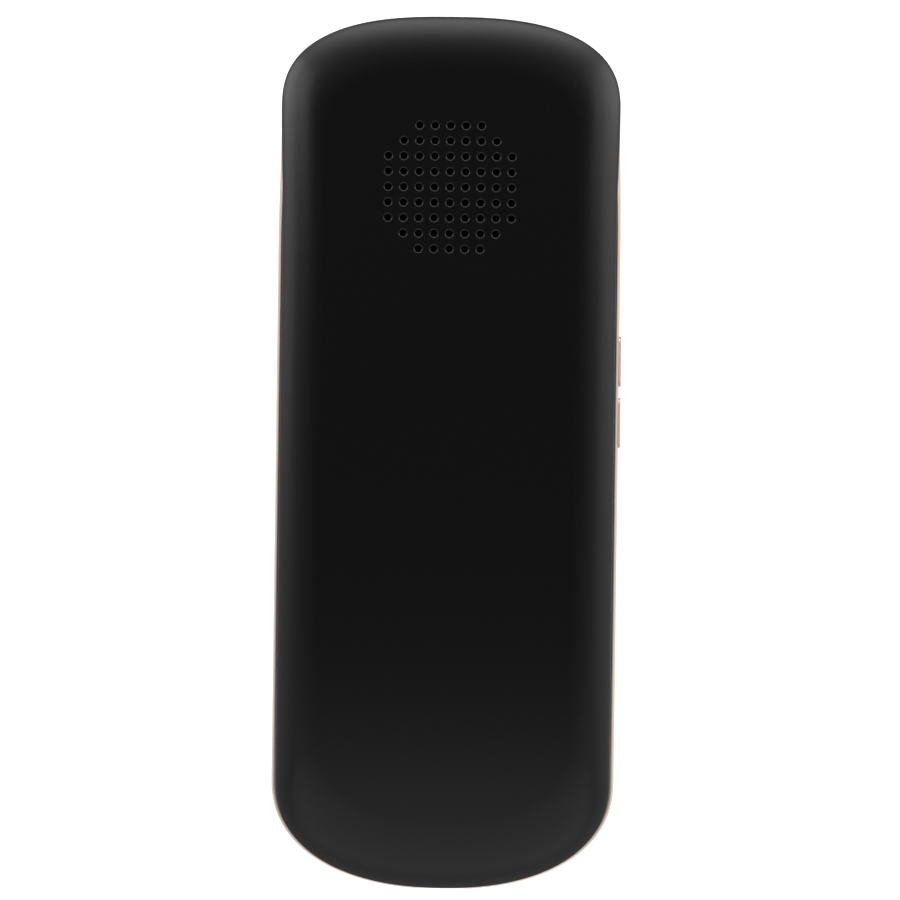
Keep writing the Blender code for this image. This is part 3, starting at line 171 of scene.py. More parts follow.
# Patterns of the finishes. A wave texture repeats WAVE_PERIODS times in one unit of its scale
GRAIN_DETAIL = 2.0
GRAIN_ROUGHNESS = 0.55
GRAIN_BUMP = 0.5
FOAM_CELL = 0.35 * MM
THREAD_SPACING = 0.3 * MM
WAVE_PERIODS = 20 / (2 * math.pi)
TRACK_SPACING = 2.4 * MM
TRACK_WIDTH = 0.09
PLATED_HOLE_SPACING = 3.1 * MM
PLATED_HOLE_REACH = 0.11
MASK_ROUGHNESS = (0.34, 0.26)
PHOSPHOR_RADIUS = 0.4 * MM
PHOSPHOR_EDGE = 0.08 * MM

# The photograph: the device's outline and its place in the frame, in pixels
FRAME = 900
OUTLINE_LENGTH_PX = 872.4
OUTLINE_SHIFT_PX = (-3.2, -2.9)
CAMERA_DISTANCE = 1200 * MM
CAMERA_TURN = math.radians(0.5)
CAMERA_LEAN = math.radians(0.76)
CAMERA_SIGHT = 10.0
SENSOR = 36.0

# The studio's light by elevation in degrees. The heights below are the Z of a direction
STUDIO_LEVELS = (
    (-90, 1.0),
    (-60, 1.0),
    (-42, 0.38),
    (-20, 0.45),
    (0, 0.48),
    (12, 0.45),
    (30, 0.32),
    (45, 0.2),
    (60, 0.14),
    (75, 0.085),
    (90, 0.055),
)
# Past the speaker end it gains a share that grows from the shade to the glow between two heights, times
# this power of a direction's Y
SPEAKER_END_SHADE = -3.0
SPEAKER_END_GLOW = 4.2
SPEAKER_END_RISE = (-0.68, -0.3)
SPEAKER_END_FALL = 4.0
# Low down past that end and its corners it loses this share, more and more between two heights and two
# values of a direction's Y, which draws the dark line round the cover
RIM_SHADE = 0.85
RIM_SHADE_HEIGHTS = (-0.62, -0.3)
RIM_SHADE_START = (0.1, 0.35)
# What it gains towards the charging end and the volume keys, and loses on the other side
CHARGING_END_GLOW = 0.15
VOLUME_SIDE_GLOW = 0.1
# The soft lamps: name, place, the point that each faces, width, height and radiance
LAMPS = (
    ("lamp_volume_side", (0.4, 0.17, 0.02), (0, 0.17, 0.02), 0.34, 0.36, 0.6),
    ("lamp_plain_side", (-0.3, 0.162, -0.015), (0, 0.162, -0.015), 0.3, 0.21, 0.7),
    ("lamp_volume_corner", (0.12, 0.1, 0.055), (0, 0.1, 0.055), 0.09, 0.17, 1.15),
    ("lamp_plain_corner", (-0.12, 0.1, 0.055), (0, 0.1, 0.055), 0.09, 0.17, 1.5),
    ("lamp_charging_end", (0, -0.106, 0.07), (0, -0.086, 0), 0.22, 0.11, 0.44),
)
FLOOR_SIZE = 6.0
FLOOR_DROP = 0.05 * MM
FLOOR_MOTTLE = 30 * MM
FLOOR_GLOW = 0.9


def box_centre(node):
    low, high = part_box(node)
    return (low + high) / 2


# What the frame gives
BODY_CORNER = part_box("mid_frame")[1]
BAND_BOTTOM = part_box("mid_frame")[0].z
BAND_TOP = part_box("mid_frame")[1].z
COVER_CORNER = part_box("rear_cover")[1]
LIP_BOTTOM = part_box("rear_cover")[0].z
COVER_RIM = BAND_TOP + COVER_SEAM
BACK = COVER_CORNER.z
PANEL_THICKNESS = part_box("front_panel")[1].z
SPEAKER_PLACE = box_centre("speaker_mesh")


class Plan:
    """A plan outline of the body: its half width, its two ends, how deep each rounds and how squarely, and
    how much wider it grows towards the speaker end, and from where."""

    def __init__(self, half_width, top, bottom, top_depth, bottom_depth, top_power, flare, flare_from):
        self.sizes = (half_width, top, bottom, top_depth, bottom_depth, top_power, flare, flare_from)

    def inset(self, by):
        half_width, top, bottom, top_depth, bottom_depth, *rest = self.sizes
        return Plan(half_width - by, top - by, bottom + by, top_depth - by, bottom_depth - by, *rest)

    def towards(self, other, share):
        return Plan(*(a + (b - a) * share for a, b in zip(self.sizes, other.sizes)))

    def at(self, z):
        """The outline's points at one height, anticlockwise from the +X side."""
        half_width, top, bottom, top_depth, bottom_depth, top_power, flare, flare_from = self.sizes
        shoulder = top - top_depth
        side = [FLARE_FOOT + (shoulder - FLARE_FOOT) * step / FLARE_STEPS for step in range(FLARE_STEPS)]
        speaker_end = end_arc(half_width, top_depth, top_power)
        charging_end = end_arc(half_width, bottom_depth, CHARGING_END_POWER)
        outline = [(x, shoulder + y) for x, y in speaker_end]
        outline += [(-half_width, y) for y in reversed(side)]
        outline += [(-x, bottom + bottom_depth - y) for x, y in charging_end]
        outline += [(half_width, y) for y in side]
        points = []
        for x, y in outline:
            share = min(1.0, max(0.0, (y - flare_from) / (FLARE_TO - flare_from)))
            growth = flare * share * share * (3 - 2 * share) / half_width
            points.append(Vector((x * (1 + growth), y, z)))
        return points


def end_arc(half_width, depth, power):
    """One rounded end, from its +X side over its tip to its -X side."""
    points = []
    for step in range(END_STEPS + 1):
        angle = math.pi * step / END_STEPS
        across = math.cos(angle)
        along = max(0.0, math.sin(angle))
        x = half_width * math.copysign(abs(across) ** (2 / power), across)
        points.append((x, depth * along ** (2 / power)))
    return points


# The body's outline, the band's face, the cover's rim and the cover's crest
BODY = Plan(
    BODY_CORNER.x,
    BODY_CORNER.y,
    -BODY_CORNER.y,
    SPEAKER_END_DEPTH,
    CHARGING_END_DEPTH,
    SPEAKER_END_POWER,
    0,
    BAND_FLARE_FROM,
)
BAND_FACE = Plan(*BODY.sizes[:-2], BAND_FLARE, BAND_FLARE_FROM)
RIM = Plan(
    COVER_CORNER.x - SHADOW_GAP,
    COVER_CORNER.y + COVER_SPEAKER_REACH,
    -COVER_CORNER.y,
    SPEAKER_END_DEPTH - COVER_END_INSET,
    CHARGING_END_DEPTH - COVER_END_INSET,
    COVER_SPEAKER_POWER,
    COVER_FLARE,
    COVER_FLARE_FROM,
)
CREST = Plan(
    COVER_CORNER.x - SIDE_ROLL,
    COVER_CORNER.y - SPEAKER_END_ROLL,
    CHARGING_END_ROLL - COVER_CORNER.y,
    CREST_SPEAKER_DEPTH,
    CREST_CHARGING_DEPTH,
    SPEAKER_END_POWER,
    0,
    COVER_FLARE_FROM,
)


def pill(length, height, x, y, z):
    """A slot outline with round ends, its long side along Y, standing across the X axis."""
    radius = height / 2
    points = []
    for side in (1, -1):
        for step in range(PILL_STEPS + 1):
            angle = math.pi * step / PILL_STEPS - math.pi / 2
            along = side * (length / 2 - radius + radius * math.cos(angle))
            points.append(Vector((x, y + along, z + side * radius * math.sin(angle))))
    return points


def skin(sections, ring=False):
    """A mesh drawn over sections by extruding a loop from each to the next, capped or closed to a ring."""
    bm = bmesh.new()
    station = bm.verts.layers.int.new("station")
    loop = bmesh.ops.create_circle(bm, segments=len(sections[0]), radius=1.0)["verts"]
    edges = list(bm.edges)
    for number, vert in enumerate(loop):
        vert[station] = number
    for number, section in enumerate(sections):
        if number:
            made = bmesh.ops.extrude_edge_only(bm, edges=edges)["geom"]
            loop = [item for item in made if isinstance(item, bmesh.types.BMVert)]
            edges = [item for item in made if isinstance(item, bmesh.types.BMEdge)]
        for vert in loop:
            vert.co = section[vert[station]]
    if ring:
        bmesh.ops.remove_doubles(bm, verts=bm.verts, dist=MERGE_DISTANCE)
    else:
        bmesh.ops.holes_fill(bm, edges=bm.edges, sides=0)
    return bm


def turned(profile, steps, x, y):
    """A profile of radius and height, spun about the upright axis at (x, y)."""
    bm = bmesh.new()
    verts = [bm.verts.new((x + radius, y, z)) for radius, z in profile]
    edges = [bm.edges.new(pair) for pair in zip(verts, verts[1:])]
    if profile[0][0] > 0:
        edges.append(bm.edges.new((verts[-1], verts[0])))
    bmesh.ops.spin(
        bm,
        geom=verts + edges,
        cent=(x, y, 0),
        axis=(0, 0, 1),
        angle=2 * math.pi,
        steps=steps,
        use_merge=True,
    )
    return bm


def quarter_round(radius, steps):
    """A rounded edge from the top face to the side: how far each point is in from the side, and down."""
    angles = [math.pi / 2 * step / steps for step in range(steps + 1)]
    return [(radius * (1 - math.sin(angle)), radius * (1 - math.cos(angle))) for angle in angles]


def eased_bevel(width, ease):
    """A bevel with both of its ends rounded, given as quarter_round gives an edge."""
    depth = ease + (width - ease) * math.tan(BEVEL_TILT)
    points = []
    for step in range(BEVEL_EASE_STEPS + 1):
        angle = BEVEL_TILT * step / BEVEL_EASE_STEPS
        points.append((width - ease * math.sin(angle), ease * (1 - math.cos(angle))))
    for step in range(BEVEL_EASE_STEPS + 1):
        angle = BEVEL_TILT + (math.pi / 2 - BEVEL_TILT) * step / BEVEL_EASE_STEPS
        points.append((ease * (1 - math.sin(angle)), depth - ease * math.cos(angle)))
    return points


def solid(bm, name):
    """Closes the seams of a bmesh, turns its faces outwards and puts it in the scene."""
    bmesh.ops.remove_doubles(bm, verts=bm.verts, dist=MERGE_DISTANCE)
    bmesh.ops.recalc_face_normals(bm, faces=bm.faces)
    if bm.calc_volume(signed=True) < 0:
        bmesh.ops.reverse_faces(bm, faces=bm.faces)
    return in_scene(bm, name)


def in_scene(bm, name):
    """Puts a bmesh in the scene as an object."""
    mesh = bpy.data.meshes.new(name)
    bm.to_mesh(mesh)
    bm.free()
    obj = bpy.data.objects.new(name, mesh)
    bpy.context.scene.collection.objects.link(obj)
    return obj


def carve(obj, cutter, operation="DIFFERENCE"):
    """Cuts a solid out of a piece, or joins it on, and keeps the result as the piece's own mesh."""
    modifier = obj.modifiers.new(cutter.name, "BOOLEAN")
    modifier.operation = operation
    modifier.solver = "EXACT"
    modifier.object = cutter
    apply_modifiers(obj)
    bpy.data.objects.remove(cutter)
    return obj


def apply_modifiers(obj):
    """Keeps a piece's modified mesh as its own."""
    bpy.context.view_layer.update()
    graph = bpy.context.evaluated_depsgraph_get()
    result = bpy.data.meshes.new_from_object(obj.evaluated_get(graph))
    obj.modifiers.clear()
    obj.data = result
    result.name = obj.name


def shade(obj):
    """Smooth shading in which each rounded edge blends into its large neighbours, which stay flat."""
    obj.data.shade_smooth()
    obj.data.set_sharp_from_angle(angle=SHARP_ANGLE)
    weighted = obj.modifiers.new("large_faces_lead", "WEIGHTED_NORMAL")
    weighted.keep_sharp = True
    weighted.weight = LARGE_FACE_WEIGHT
    apply_modifiers(obj)


def dress(obj, material, body, stands_for):
    """Gives a finished piece its surface and its body, and hides the CAD parts that it stands for."""
    obj.data.materials.clear()
    obj.data.materials.append(material)
    shade(obj)
    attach(obj, body)
    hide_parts(*stands_for)


def linear(colour):
    """A six-digit sRGB hex colour as linear RGBA."""
    channels = [int(colour[start:start + 2], 16) / 255 for start in (0, 2, 4)]
    return (*(c / 12.92 if c <= 0.04045 else ((c + 0.055) / 1.055) ** 2.4 for c in channels), 1.0)


def per_metre(size):
    """A texture's scale for a pattern whose features have this real size."""
    return 1 / size


def add(material, kind, inputs=(), **settings):
    """Adds a node with its settings, and sets or links its inputs."""
    tree = material.node_tree
    node = tree.nodes.new(kind)
    for key, value in settings.items():
        setattr(node, key, value)
    for key, value in dict(inputs).items():
        if isinstance(value, bpy.types.NodeSocket):
            tree.links.new(value, node.inputs[key])
        else:
            node.inputs[key].default_value = value
    return node


def surface(name, **sockets):
    """A material with one Principled shader, its constants on its own sockets, and Object coordinates."""
    material = bpy.data.materials.new(name)
    material.use_nodes = True
    shader = material.node_tree.nodes["Principled BSDF"]
    for key, value in sockets.items():
        shader.inputs[key.replace("_", " ")].default_value = value
    place = add(material, "ShaderNodeTexCoord").outputs["Object"]
    return material, shader, place


def join_up(material, output, socket):
    material.node_tree.links.new(output, socket)


def mixed(material, factor, first, second):
    """A colour between two, by a factor."""
    inputs = {"Factor": factor, "A": first, "B": second}
    return add(material, "ShaderNodeMix", inputs, data_type="RGBA").outputs["Result"]


def spread(material, value, low, high, to_low=0.0, to_high=1.0):
    """A value's range from low to high, spread over another and held at its ends."""
    inputs = {"Value": value, "From Min": low, "From Max": high, "To Min": to_low, "To Max": to_high}
    return add(material, "ShaderNodeMapRange", inputs).outputs["Result"]


def computed(material, operation, *values):
    """What a math node makes of its values."""
    return add(material, "ShaderNodeMath", dict(enumerate(values)), operation=operation).outputs["Value"]


def raised(material, height, strength, distance):
    """The normal of a surface on which a pattern stands out."""
    inputs = {"Height": height, "Strength": strength, "Distance": distance}
    return add(material, "ShaderNodeBump", inputs).outputs["Normal"]


def grained(name, colours, grain, roughness, relief, **sockets):
    """A surface whose tone, gloss and relief follow one grain of a real size."""
    material, shader, place = surface(name, **sockets)
    pattern = add(
        material, "ShaderNodeTexNoise",
        {
            "Vector": place,
            "Scale": per_metre(grain),
            "Detail": GRAIN_DETAIL,
            "Roughness": GRAIN_ROUGHNESS,
        },
    ).outputs["Fac"]
    tone = mixed(material, pattern, linear(colours[0]), linear(colours[1]))
    gloss = spread(material, pattern, 0.0, 1.0, *roughness)
    bump = raised(material, pattern, GRAIN_BUMP, relief)
    join_up(material, tone, shader.inputs["Base Color"])
    join_up(material, gloss, shader.inputs["Roughness"])
    join_up(material, bump, shader.inputs["Normal"])
    return material


def soft_touch_polycarbonate():
    """Moulded polycarbonate under a soft-touch lacquer: a deep matt black with a fine grain, drawn about
    twice as coarse as it is so that it shows."""
    return grained(
        "soft_touch_polycarbonate", ("050505", "0c0c0d"), 0.5 * MM, (0.29, 0.38), 0.012 * MM, IOR=1.5,
    )


def blasted_anodised_aluminium(name, dark, light):
    """Aluminium, bead blasted and anodised rose gold: satin, its sparkle finer than its blast marks."""
    return grained(name, (dark, light), 0.12 * MM, (0.26, 0.36), 0.004 * MM, Metallic=1.0)


def gloss_acrylic():
    """Moulded acrylic, hard coated: a mirror-like black that finger smudges dull in patches."""
    return grained("gloss_acrylic", ("040405", "080809"), 12 * MM, (0.03, 0.09), 0.0005 * MM, IOR=1.49)


def moulded_silicone():
    """Compression-moulded silicone with a fine matt texture, as soft keys have."""
    return grained(
        "moulded_silicone", ("0d0d0e", "191919"), 0.15 * MM, (0.5, 0.62), 0.008 * MM, IOR=1.41,
    )


def spark_eroded_abs():
    """ABS moulded in a spark-eroded tool: an even pebbled matt black."""
    return grained(
        "spark_eroded_abs", ("101011", "1b1b1c"), 0.35 * MM, (0.5, 0.64), 0.02 * MM, IOR=1.53,
    )


def moulded_epoxy():
    """Chip moulding compound: a dark grey with the sparkle of its silica filler."""
    return grained("moulded_epoxy", ("131314", "242425"), 0.08 * MM, (0.52, 0.7), 0.006 * MM, IOR=1.55)


def glass_filled_nylon(name, dark, light):
    """Injection-moulded nylon with short glass fibre: a slightly mottled satin."""
    return grained(name, (dark, light), 0.3 * MM, (0.4, 0.52), 0.006 * MM, IOR=1.53)


def extruded_vinyl(name, dark, light):
    """Extruded vinyl wire insulation: smooth and waxy."""
    return grained(name, (dark, light), 0.6 * MM, (0.32, 0.44), 0.004 * MM, IOR=1.52)


def acrylic_foam_tape():
    """Die-cut acrylic foam tape: a tacky dark grey with small bubbles at its surface."""
    return grained("acrylic_foam_tape", ("141414", "262627"), 0.25 * MM, (0.6, 0.8), 0.03 * MM, IOR=1.48)


def polyester_tape():
    """White double-sided polyester tape: a low sheen over a faint mottle."""
    return grained("polyester_tape", ("dcdcd8", "f0f0ec"), 0.8 * MM, (0.4, 0.5), 0.004 * MM, IOR=1.5)


def polyimide_tape():
    """Amber polyimide tape: smooth and glossy, with slight wrinkles."""
    return grained("polyimide_tape", ("9a5a14", "c07c22"), 2.5 * MM, (0.18, 0.3), 0.04 * MM, IOR=1.6)


def frosted_acrylic():
    """A moulded acrylic light guide with a frosted face: milky, letting light through."""
    return grained(
        "frosted_acrylic", ("d6dadb", "eef0f0"), 0.1 * MM, (0.3, 0.42), 0.003 * MM,
        IOR=1.49, Transmission_Weight=0.5,
    )


def tin_plated_steel():
    """Bright tin on folded sheet steel: a pale grey metal with a soft crystalline mottle."""
    return grained(
        "tin_plated_steel", ("b4b7b8", "d4d6d6"), 0.7 * MM, (0.24, 0.38), 0.004 * MM, Metallic=1.0,
    )


def stamped_stainless_steel():
    """Stamped stainless steel: a darker, slightly rough sheet metal."""
    return grained(
        "stamped_stainless_steel", ("85878a", "a6a8aa"), 0.2 * MM, (0.3, 0.42), 0.004 * MM, Metallic=1.0,
    )


def black_zinc_steel():
    """Screw steel under black zinc: a dark metal with a slight lustre."""
    return grained(
        "black_zinc_steel", ("2f2f32", "4b4b4f"), 0.15 * MM, (0.3, 0.42), 0.004 * MM, Metallic=1.0,
    )


def nickel_plate():
    """Barrel-plated nickel over a pressed magnet: warm, bright and slightly hazy."""
    return grained("nickel_plate", ("b8b3a6", "d6d1c4"), 0.5 * MM, (0.14, 0.26), 0.002 * MM, Metallic=1.0)


def gold_plate():
    """Flash gold over nickel on pressed contacts."""
    return grained("gold_plate", ("c99a41", "e8c06a"), 0.1 * MM, (0.18, 0.28), 0.001 * MM, Metallic=1.0)


def aluminium_laminate():
    """A lithium cell's laminated foil pouch: matt silver, pressed into shallow crinkles."""
    return grained(
        "aluminium_laminate", ("9a9da1", "bfc2c5"), 3.0 * MM, (0.34, 0.48), 0.1 * MM, Metallic=0.85,
    )


def pressed_film():
    """Hot-pressed polyester film, as a speaker's cone: thin, dark and softly shiny."""
    return grained("pressed_film", ("151517", "26262a"), 1.2 * MM, (0.26, 0.4), 0.01 * MM, IOR=1.57)


def open_foam():
    """Open polyurethane foam: charcoal grey and pitted with cells, with shade painted darker into the pits.
    """
    material, shader, place = surface("open_foam", Roughness=0.9)
    inputs = {"Vector": place, "Scale": per_metre(FOAM_CELL)}
    cells = add(material, "ShaderNodeTexVoronoi", inputs).outputs["Distance"]
    # Painted shade: the tone darkens towards each cell's middle, where the bump sinks into a pit
    tone = mixed(material, cells, linear("0c0c0c"), linear("343435"))
    bump = raised(material, cells, strength=0.8, distance=0.1 * MM)
    join_up(material, tone, shader.inputs["Base Color"])
    join_up(material, bump, shader.inputs["Normal"])
    return material


def woven_polyester():
    """Black woven speaker cloth: threads over and under each other, with shade painted darker into the gaps
    between them.
    """
    material, shader, place = surface("woven_polyester", Roughness=0.75)
    threads = []
    for direction in ("X", "Y"):
        threads.append(add(
            material, "ShaderNodeTexWave",
            {"Vector": place, "Scale": per_metre(THREAD_SPACING) / WAVE_PERIODS},
            bands_direction=direction,
        ).outputs["Fac"])
    weave = computed(material, "MULTIPLY", *threads)
    # Painted shade: the tone darkens where the weave's bump sinks between the threads
    tone = mixed(material, weave, linear("020202"), linear("101011"))
    bump = raised(material, weave, strength=0.8, distance=0.05 * MM)
    join_up(material, tone, shader.inputs["Base Color"])
    join_up(material, bump, shader.inputs["Normal"])
    return material


def solder_masked_board():
    """Glass-epoxy board under green solder mask, which is lighter over its copper, with plated holes."""
    material, shader, place = surface("solder_masked_board", IOR=1.55)
    tracks = add(
        material, "ShaderNodeTexVoronoi",
        {"Vector": place, "Scale": per_metre(TRACK_SPACING)},
        feature="DISTANCE_TO_EDGE",
    )
    holes = add(
        material, "ShaderNodeTexVoronoi", {"Vector": place, "Scale": per_metre(PLATED_HOLE_SPACING)},
    )
    track = computed(material, "LESS_THAN", tracks.outputs["Distance"], TRACK_WIDTH)
    hole = computed(material, "LESS_THAN", holes.outputs["Distance"], PLATED_HOLE_REACH)
    masked = mixed(material, track, linear("12402a"), linear("1f6a41"))
    tone = mixed(material, hole, masked, linear("c9a24e"))
    gloss = spread(material, track, 0.0, 1.0, *MASK_ROUGHNESS)
    bump = raised(material, track, strength=0.6, distance=0.03 * MM)
    join_up(material, tone, shader.inputs["Base Color"])
    join_up(material, hole, shader.inputs["Metallic"])
    join_up(material, gloss, shader.inputs["Roughness"])
    join_up(material, bump, shader.inputs["Normal"])
    return material


def lamp_package(node):
    """A status light's white package with a round well of yellow phosphor in its middle."""
    material, shader, place = surface("lamp_package", Roughness=0.4)
    away = add(
        material, "ShaderNodeVectorMath", {0: place, 1: box_centre(node)}, operation="DISTANCE",
    ).outputs["Value"]
    edge = spread(material, away, PHOSPHOR_RADIUS, PHOSPHOR_RADIUS + PHOSPHOR_EDGE)
    tone = mixed(material, edge, linear("d8b23c"), linear("eae7de"))
    join_up(material, tone, shader.inputs["Base Color"])
    return material


def make_rear_cover(material):
    """The back shell: an upright land at its rim, rolled over from there to the crest, with a lip inside
    the band and the speaker's holes."""
    roll_foot = COVER_RIM + COVER_LAND
    sections = []
    for step in range(ROLL_STEPS, -1, -1):
        angle = ROLL_START + (math.pi / 2 - ROLL_START) * step / ROLL_STEPS
        inward = 1 - math.cos(angle) / math.cos(ROLL_START)
        upward = (math.sin(angle) - math.sin(ROLL_START)) / (1 - math.sin(ROLL_START))
        sections.append(RIM.towards(CREST, inward).at(roll_foot + (BACK - roll_foot) * upward))
    sections.append(RIM.at(COVER_RIM))
    lip = BODY.inset(BAND_WALL + LIP_FIT)
    lip_inside = lip.inset(LIP_WALL)
    sections += [lip.at(COVER_RIM), lip.at(LIP_BOTTOM)]
    sections += [lip_inside.at(LIP_BOTTOM), lip_inside.at(COVER_RIM + LIP_ROOT)]
    inner_rim = RIM.inset(COVER_RIM_WALL)
    ceiling = BACK - COVER_WALL
    for step in range(INNER_ROLL_START, INNER_ROLL_STEPS + 1):
        angle = math.pi / 2 * step / INNER_ROLL_STEPS
        plan = inner_rim.towards(CREST, 1 - math.cos(angle))
        sections.append(plan.at(COVER_RIM + (ceiling - COVER_RIM) * math.sin(angle)))
    cover = solid(skin(sections), "rear_cover_shell")
    carve(cover, grille_pins())
    dress(cover, material, "casing", ["rear_cover"])


def grille_pins():
    """The grille's holes as pins that flare where they leave the back, so each hole has a soft bevel."""
    edge = eased_bevel(GRILLE_HOLE_BEVEL, GRILLE_HOLE_EASE)
    profile = [(0, BACK + CUT_OVERRUN), (GRILLE_HOLE_RADIUS + GRILLE_HOLE_BEVEL, BACK + CUT_OVERRUN)]
    profile += [(GRILLE_HOLE_RADIUS + inward, BACK - down) for inward, down in edge]
    profile += [(GRILLE_HOLE_RADIUS, BACK - COVER_WALL - CUT_OVERRUN), (0, BACK - COVER_WALL - CUT_OVERRUN)]
    bm = bmesh.new()
    for row in range(-GRILLE_REACH, GRILLE_REACH + 1):
        for column in range(-GRILLE_REACH, GRILLE_REACH + 1):
            if abs(row) + abs(column) > GRILLE_DIAGONAL:
                continue
            x = SPEAKER_PLACE.x + column * GRILLE_PITCH
            y = SPEAKER_PLACE.y + row * GRILLE_PITCH
            pin = turned(profile, GRILLE_HOLE_SIDES, x, y)
            mesh = bpy.data.meshes.new("pin")
            pin.to_mesh(mesh)
            pin.free()
            bm.from_mesh(mesh)
            bpy.data.meshes.remove(mesh)
    return solid(bm, "grille_pins")


def make_band(material):
    """The metal band: a crowned face with rounded edges, a ledge that leaves a shadow gap round the cover,
    slots for the keys and a port for the socket."""
    middle = (BAND_BOTTOM + BAND_TOP) / 2
    half_height = (BAND_TOP - BAND_BOTTOM) / 2
    edge = quarter_round(BAND_EDGE, BAND_EDGE_STEPS)
    upper = [(BAND_CROWN + inward, half_height - down) for inward, down in edge]
    face = []
    for step in range(1, BAND_STEPS):
        share = 1 - 2 * step / BAND_STEPS
        face.append((BAND_CROWN * share**2, share * (half_height - BAND_EDGE)))
    lower = [(inward, -height) for inward, height in reversed(upper)]
    ledge = half_height - SHADOW_GAP_DEPTH
    shoulder = BODY_CORNER.x - COVER_CORNER.x
    profile = [(BAND_WALL, ledge), (shoulder, ledge), (shoulder, half_height)]
    profile += [*upper, *face, *lower, (BAND_WALL, -half_height), (BAND_WALL, ledge)]
    sections = []
    for inward, height in profile:
        plan = BODY if inward == BAND_WALL else BAND_FACE
        sections.append(plan.inset(inward).at(middle + height))
    band = solid(skin(sections, ring=True), "mid_frame_band")

    outside = BODY_CORNER.x + CUT_OVERRUN
    inside = BODY_CORNER.x - BAND_WALL - CUT_OVERRUN
    size = (VOLUME_KEY_LENGTH + 2 * RUNNING_GAP, VOLUME_KEY_HEIGHT + 2 * RUNNING_GAP)
    for node in ("volume_up_key", "volume_down_key"):
        place = box_centre(node)
        slot = solid(skin([pill(*size, x, place.y, place.z) for x in (outside, inside)]), "key_slot")
        carve(band, slot)

    socket = box_centre("usb_socket_shell")
    reach = BODY_CORNER.y + CUT_OVERRUN + socket.y
    port = solid(skin([pill(PORT_WIDTH, PORT_HEIGHT, x, 0, 0) for x in (0, reach)]), "charging_port")
    port.data.transform(Matrix.Translation(socket) @ Matrix.Rotation(math.radians(-90), 4, "Z"))
    carve(band, port)
    dress(band, material, "casing", ["mid_frame"])


def make_volume_key(node, body, material):
    """A side key: nub and flange inside the band, and a pill cap with a soft bevel outside it, which is
    steeper at its ends."""
    low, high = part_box(node)
    centre = (low + high) / 2
    flange = (VOLUME_KEY_LENGTH + 2 * VOLUME_FLANGE_REACH, VOLUME_KEY_HEIGHT)
    nub = (VOLUME_NUB_LENGTH, VOLUME_NUB_HEIGHT)
    flange_outer = BODY_CORNER.x - BAND_WALL - RUNNING_GAP
    flange_inner = flange_outer - VOLUME_FLANGE_THICKNESS
    levels = [(*nub, low.x), (*nub, flange_inner), (*flange, flange_inner), (*flange, flange_outer)]
    levels.append((VOLUME_KEY_LENGTH, VOLUME_KEY_HEIGHT, flange_outer))
    end_share = VOLUME_KEY_END_BEVEL / VOLUME_KEY_BEVEL
    for inward, down in reversed(eased_bevel(VOLUME_KEY_BEVEL, VOLUME_KEY_EASE)):
        length = VOLUME_KEY_LENGTH - 2 * end_share * inward
        levels.append((length, VOLUME_KEY_HEIGHT - 2 * inward, high.x - down))
    sections = [pill(length, height, x, centre.y, centre.z) for length, height, x in levels]
    key = solid(skin(sections), node + "_cap")
    dress(key, material, body, [node])


def flared_pin(radius, edge_round, face, back, steps, x, y):
    """A round cutter for a hole whose edge is rounded on the face, which may look up or down."""
    outward = math.copysign(1, face - back)
    profile = [(0, face + outward * CUT_OVERRUN), (radius + edge_round, face + outward * CUT_OVERRUN)]
    for inward, down in quarter_round(edge_round, HOLE_ROUND_STEPS):
        profile.append((radius + inward, face - outward * down))
    profile += [(radius, back - outward * CUT_OVERRUN), (0, back - outward * CUT_OVERRUN)]
    return turned(profile, steps, x, y)


def make_front_panel(material):
    """The gloss front: flat where it rests, rolled back to the band, with rounded holes for what shows
    through."""
    widest = BODY.inset(PANEL_INSET)
    sections = [widest.at(PANEL_THICKNESS)]
    for inward, down in reversed(quarter_round(PANEL_EDGE_ROUND, PANEL_EDGE_STEPS)):
        sections.append(widest.inset(inward).at(down))
    panel = solid(skin(sections), "front_panel_gloss")
    for node, gap, steps in (
        ("key_ring_upper", STACK_GAP, ROUND_STEPS),
        ("key_ring_lower", STACK_GAP, ROUND_STEPS),
        ("power_key", RUNNING_GAP - KEY_FLANGE_REACH, SMALL_ROUND_STEPS),
        ("light_pipe", RUNNING_GAP - LIGHT_FLANGE_REACH, SMALL_ROUND_STEPS),
    ):
        low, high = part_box(node)
        cut_round(panel, (high.x - low.x) / 2 + gap, (low + high) / 2, steps)
    cut_round(panel, MICROPHONE_PORT_RADIUS, box_centre("microphone_capsule"), SMALL_ROUND_STEPS)
    dress(panel, material, "casing", ["front_panel"])


def cut_round(panel, radius, place, steps):
    pin = flared_pin(radius, PANEL_HOLE_ROUND, 0, PANEL_THICKNESS, steps, place.x, place.y)
    carve(panel, solid(pin, "round_opening"))


def make_round_key(node, body, material, dish):
    """A round front key: a flange inside, a straight side, a rounded edge and a dished face."""
    low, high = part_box(node)
    radius = (high.x - low.x) / 2 - KEY_FLANGE_REACH
    flange_bottom = high.z - KEY_FLANGE_THICKNESS
    profile = [(0, high.z), (radius + KEY_FLANGE_REACH, high.z), (radius + KEY_FLANGE_REACH, flange_bottom)]
    profile.append((radius, flange_bottom))
    for inward, down in reversed(quarter_round(KEY_EDGE, KEY_EDGE_STEPS)):
        profile.append((radius - inward, low.z + down))
    for step in range(1, KEY_DISH_STEPS + 1):
        share = 1 - step / KEY_DISH_STEPS
        profile.append(((radius - KEY_EDGE) * share, low.z + dish * (1 - share**2) ** 2))
    centre = (low + high) / 2
    key = solid(turned(profile, ROUND_STEPS, centre.x, centre.y), node + "_cap")
    dress(key, material, body, [node])


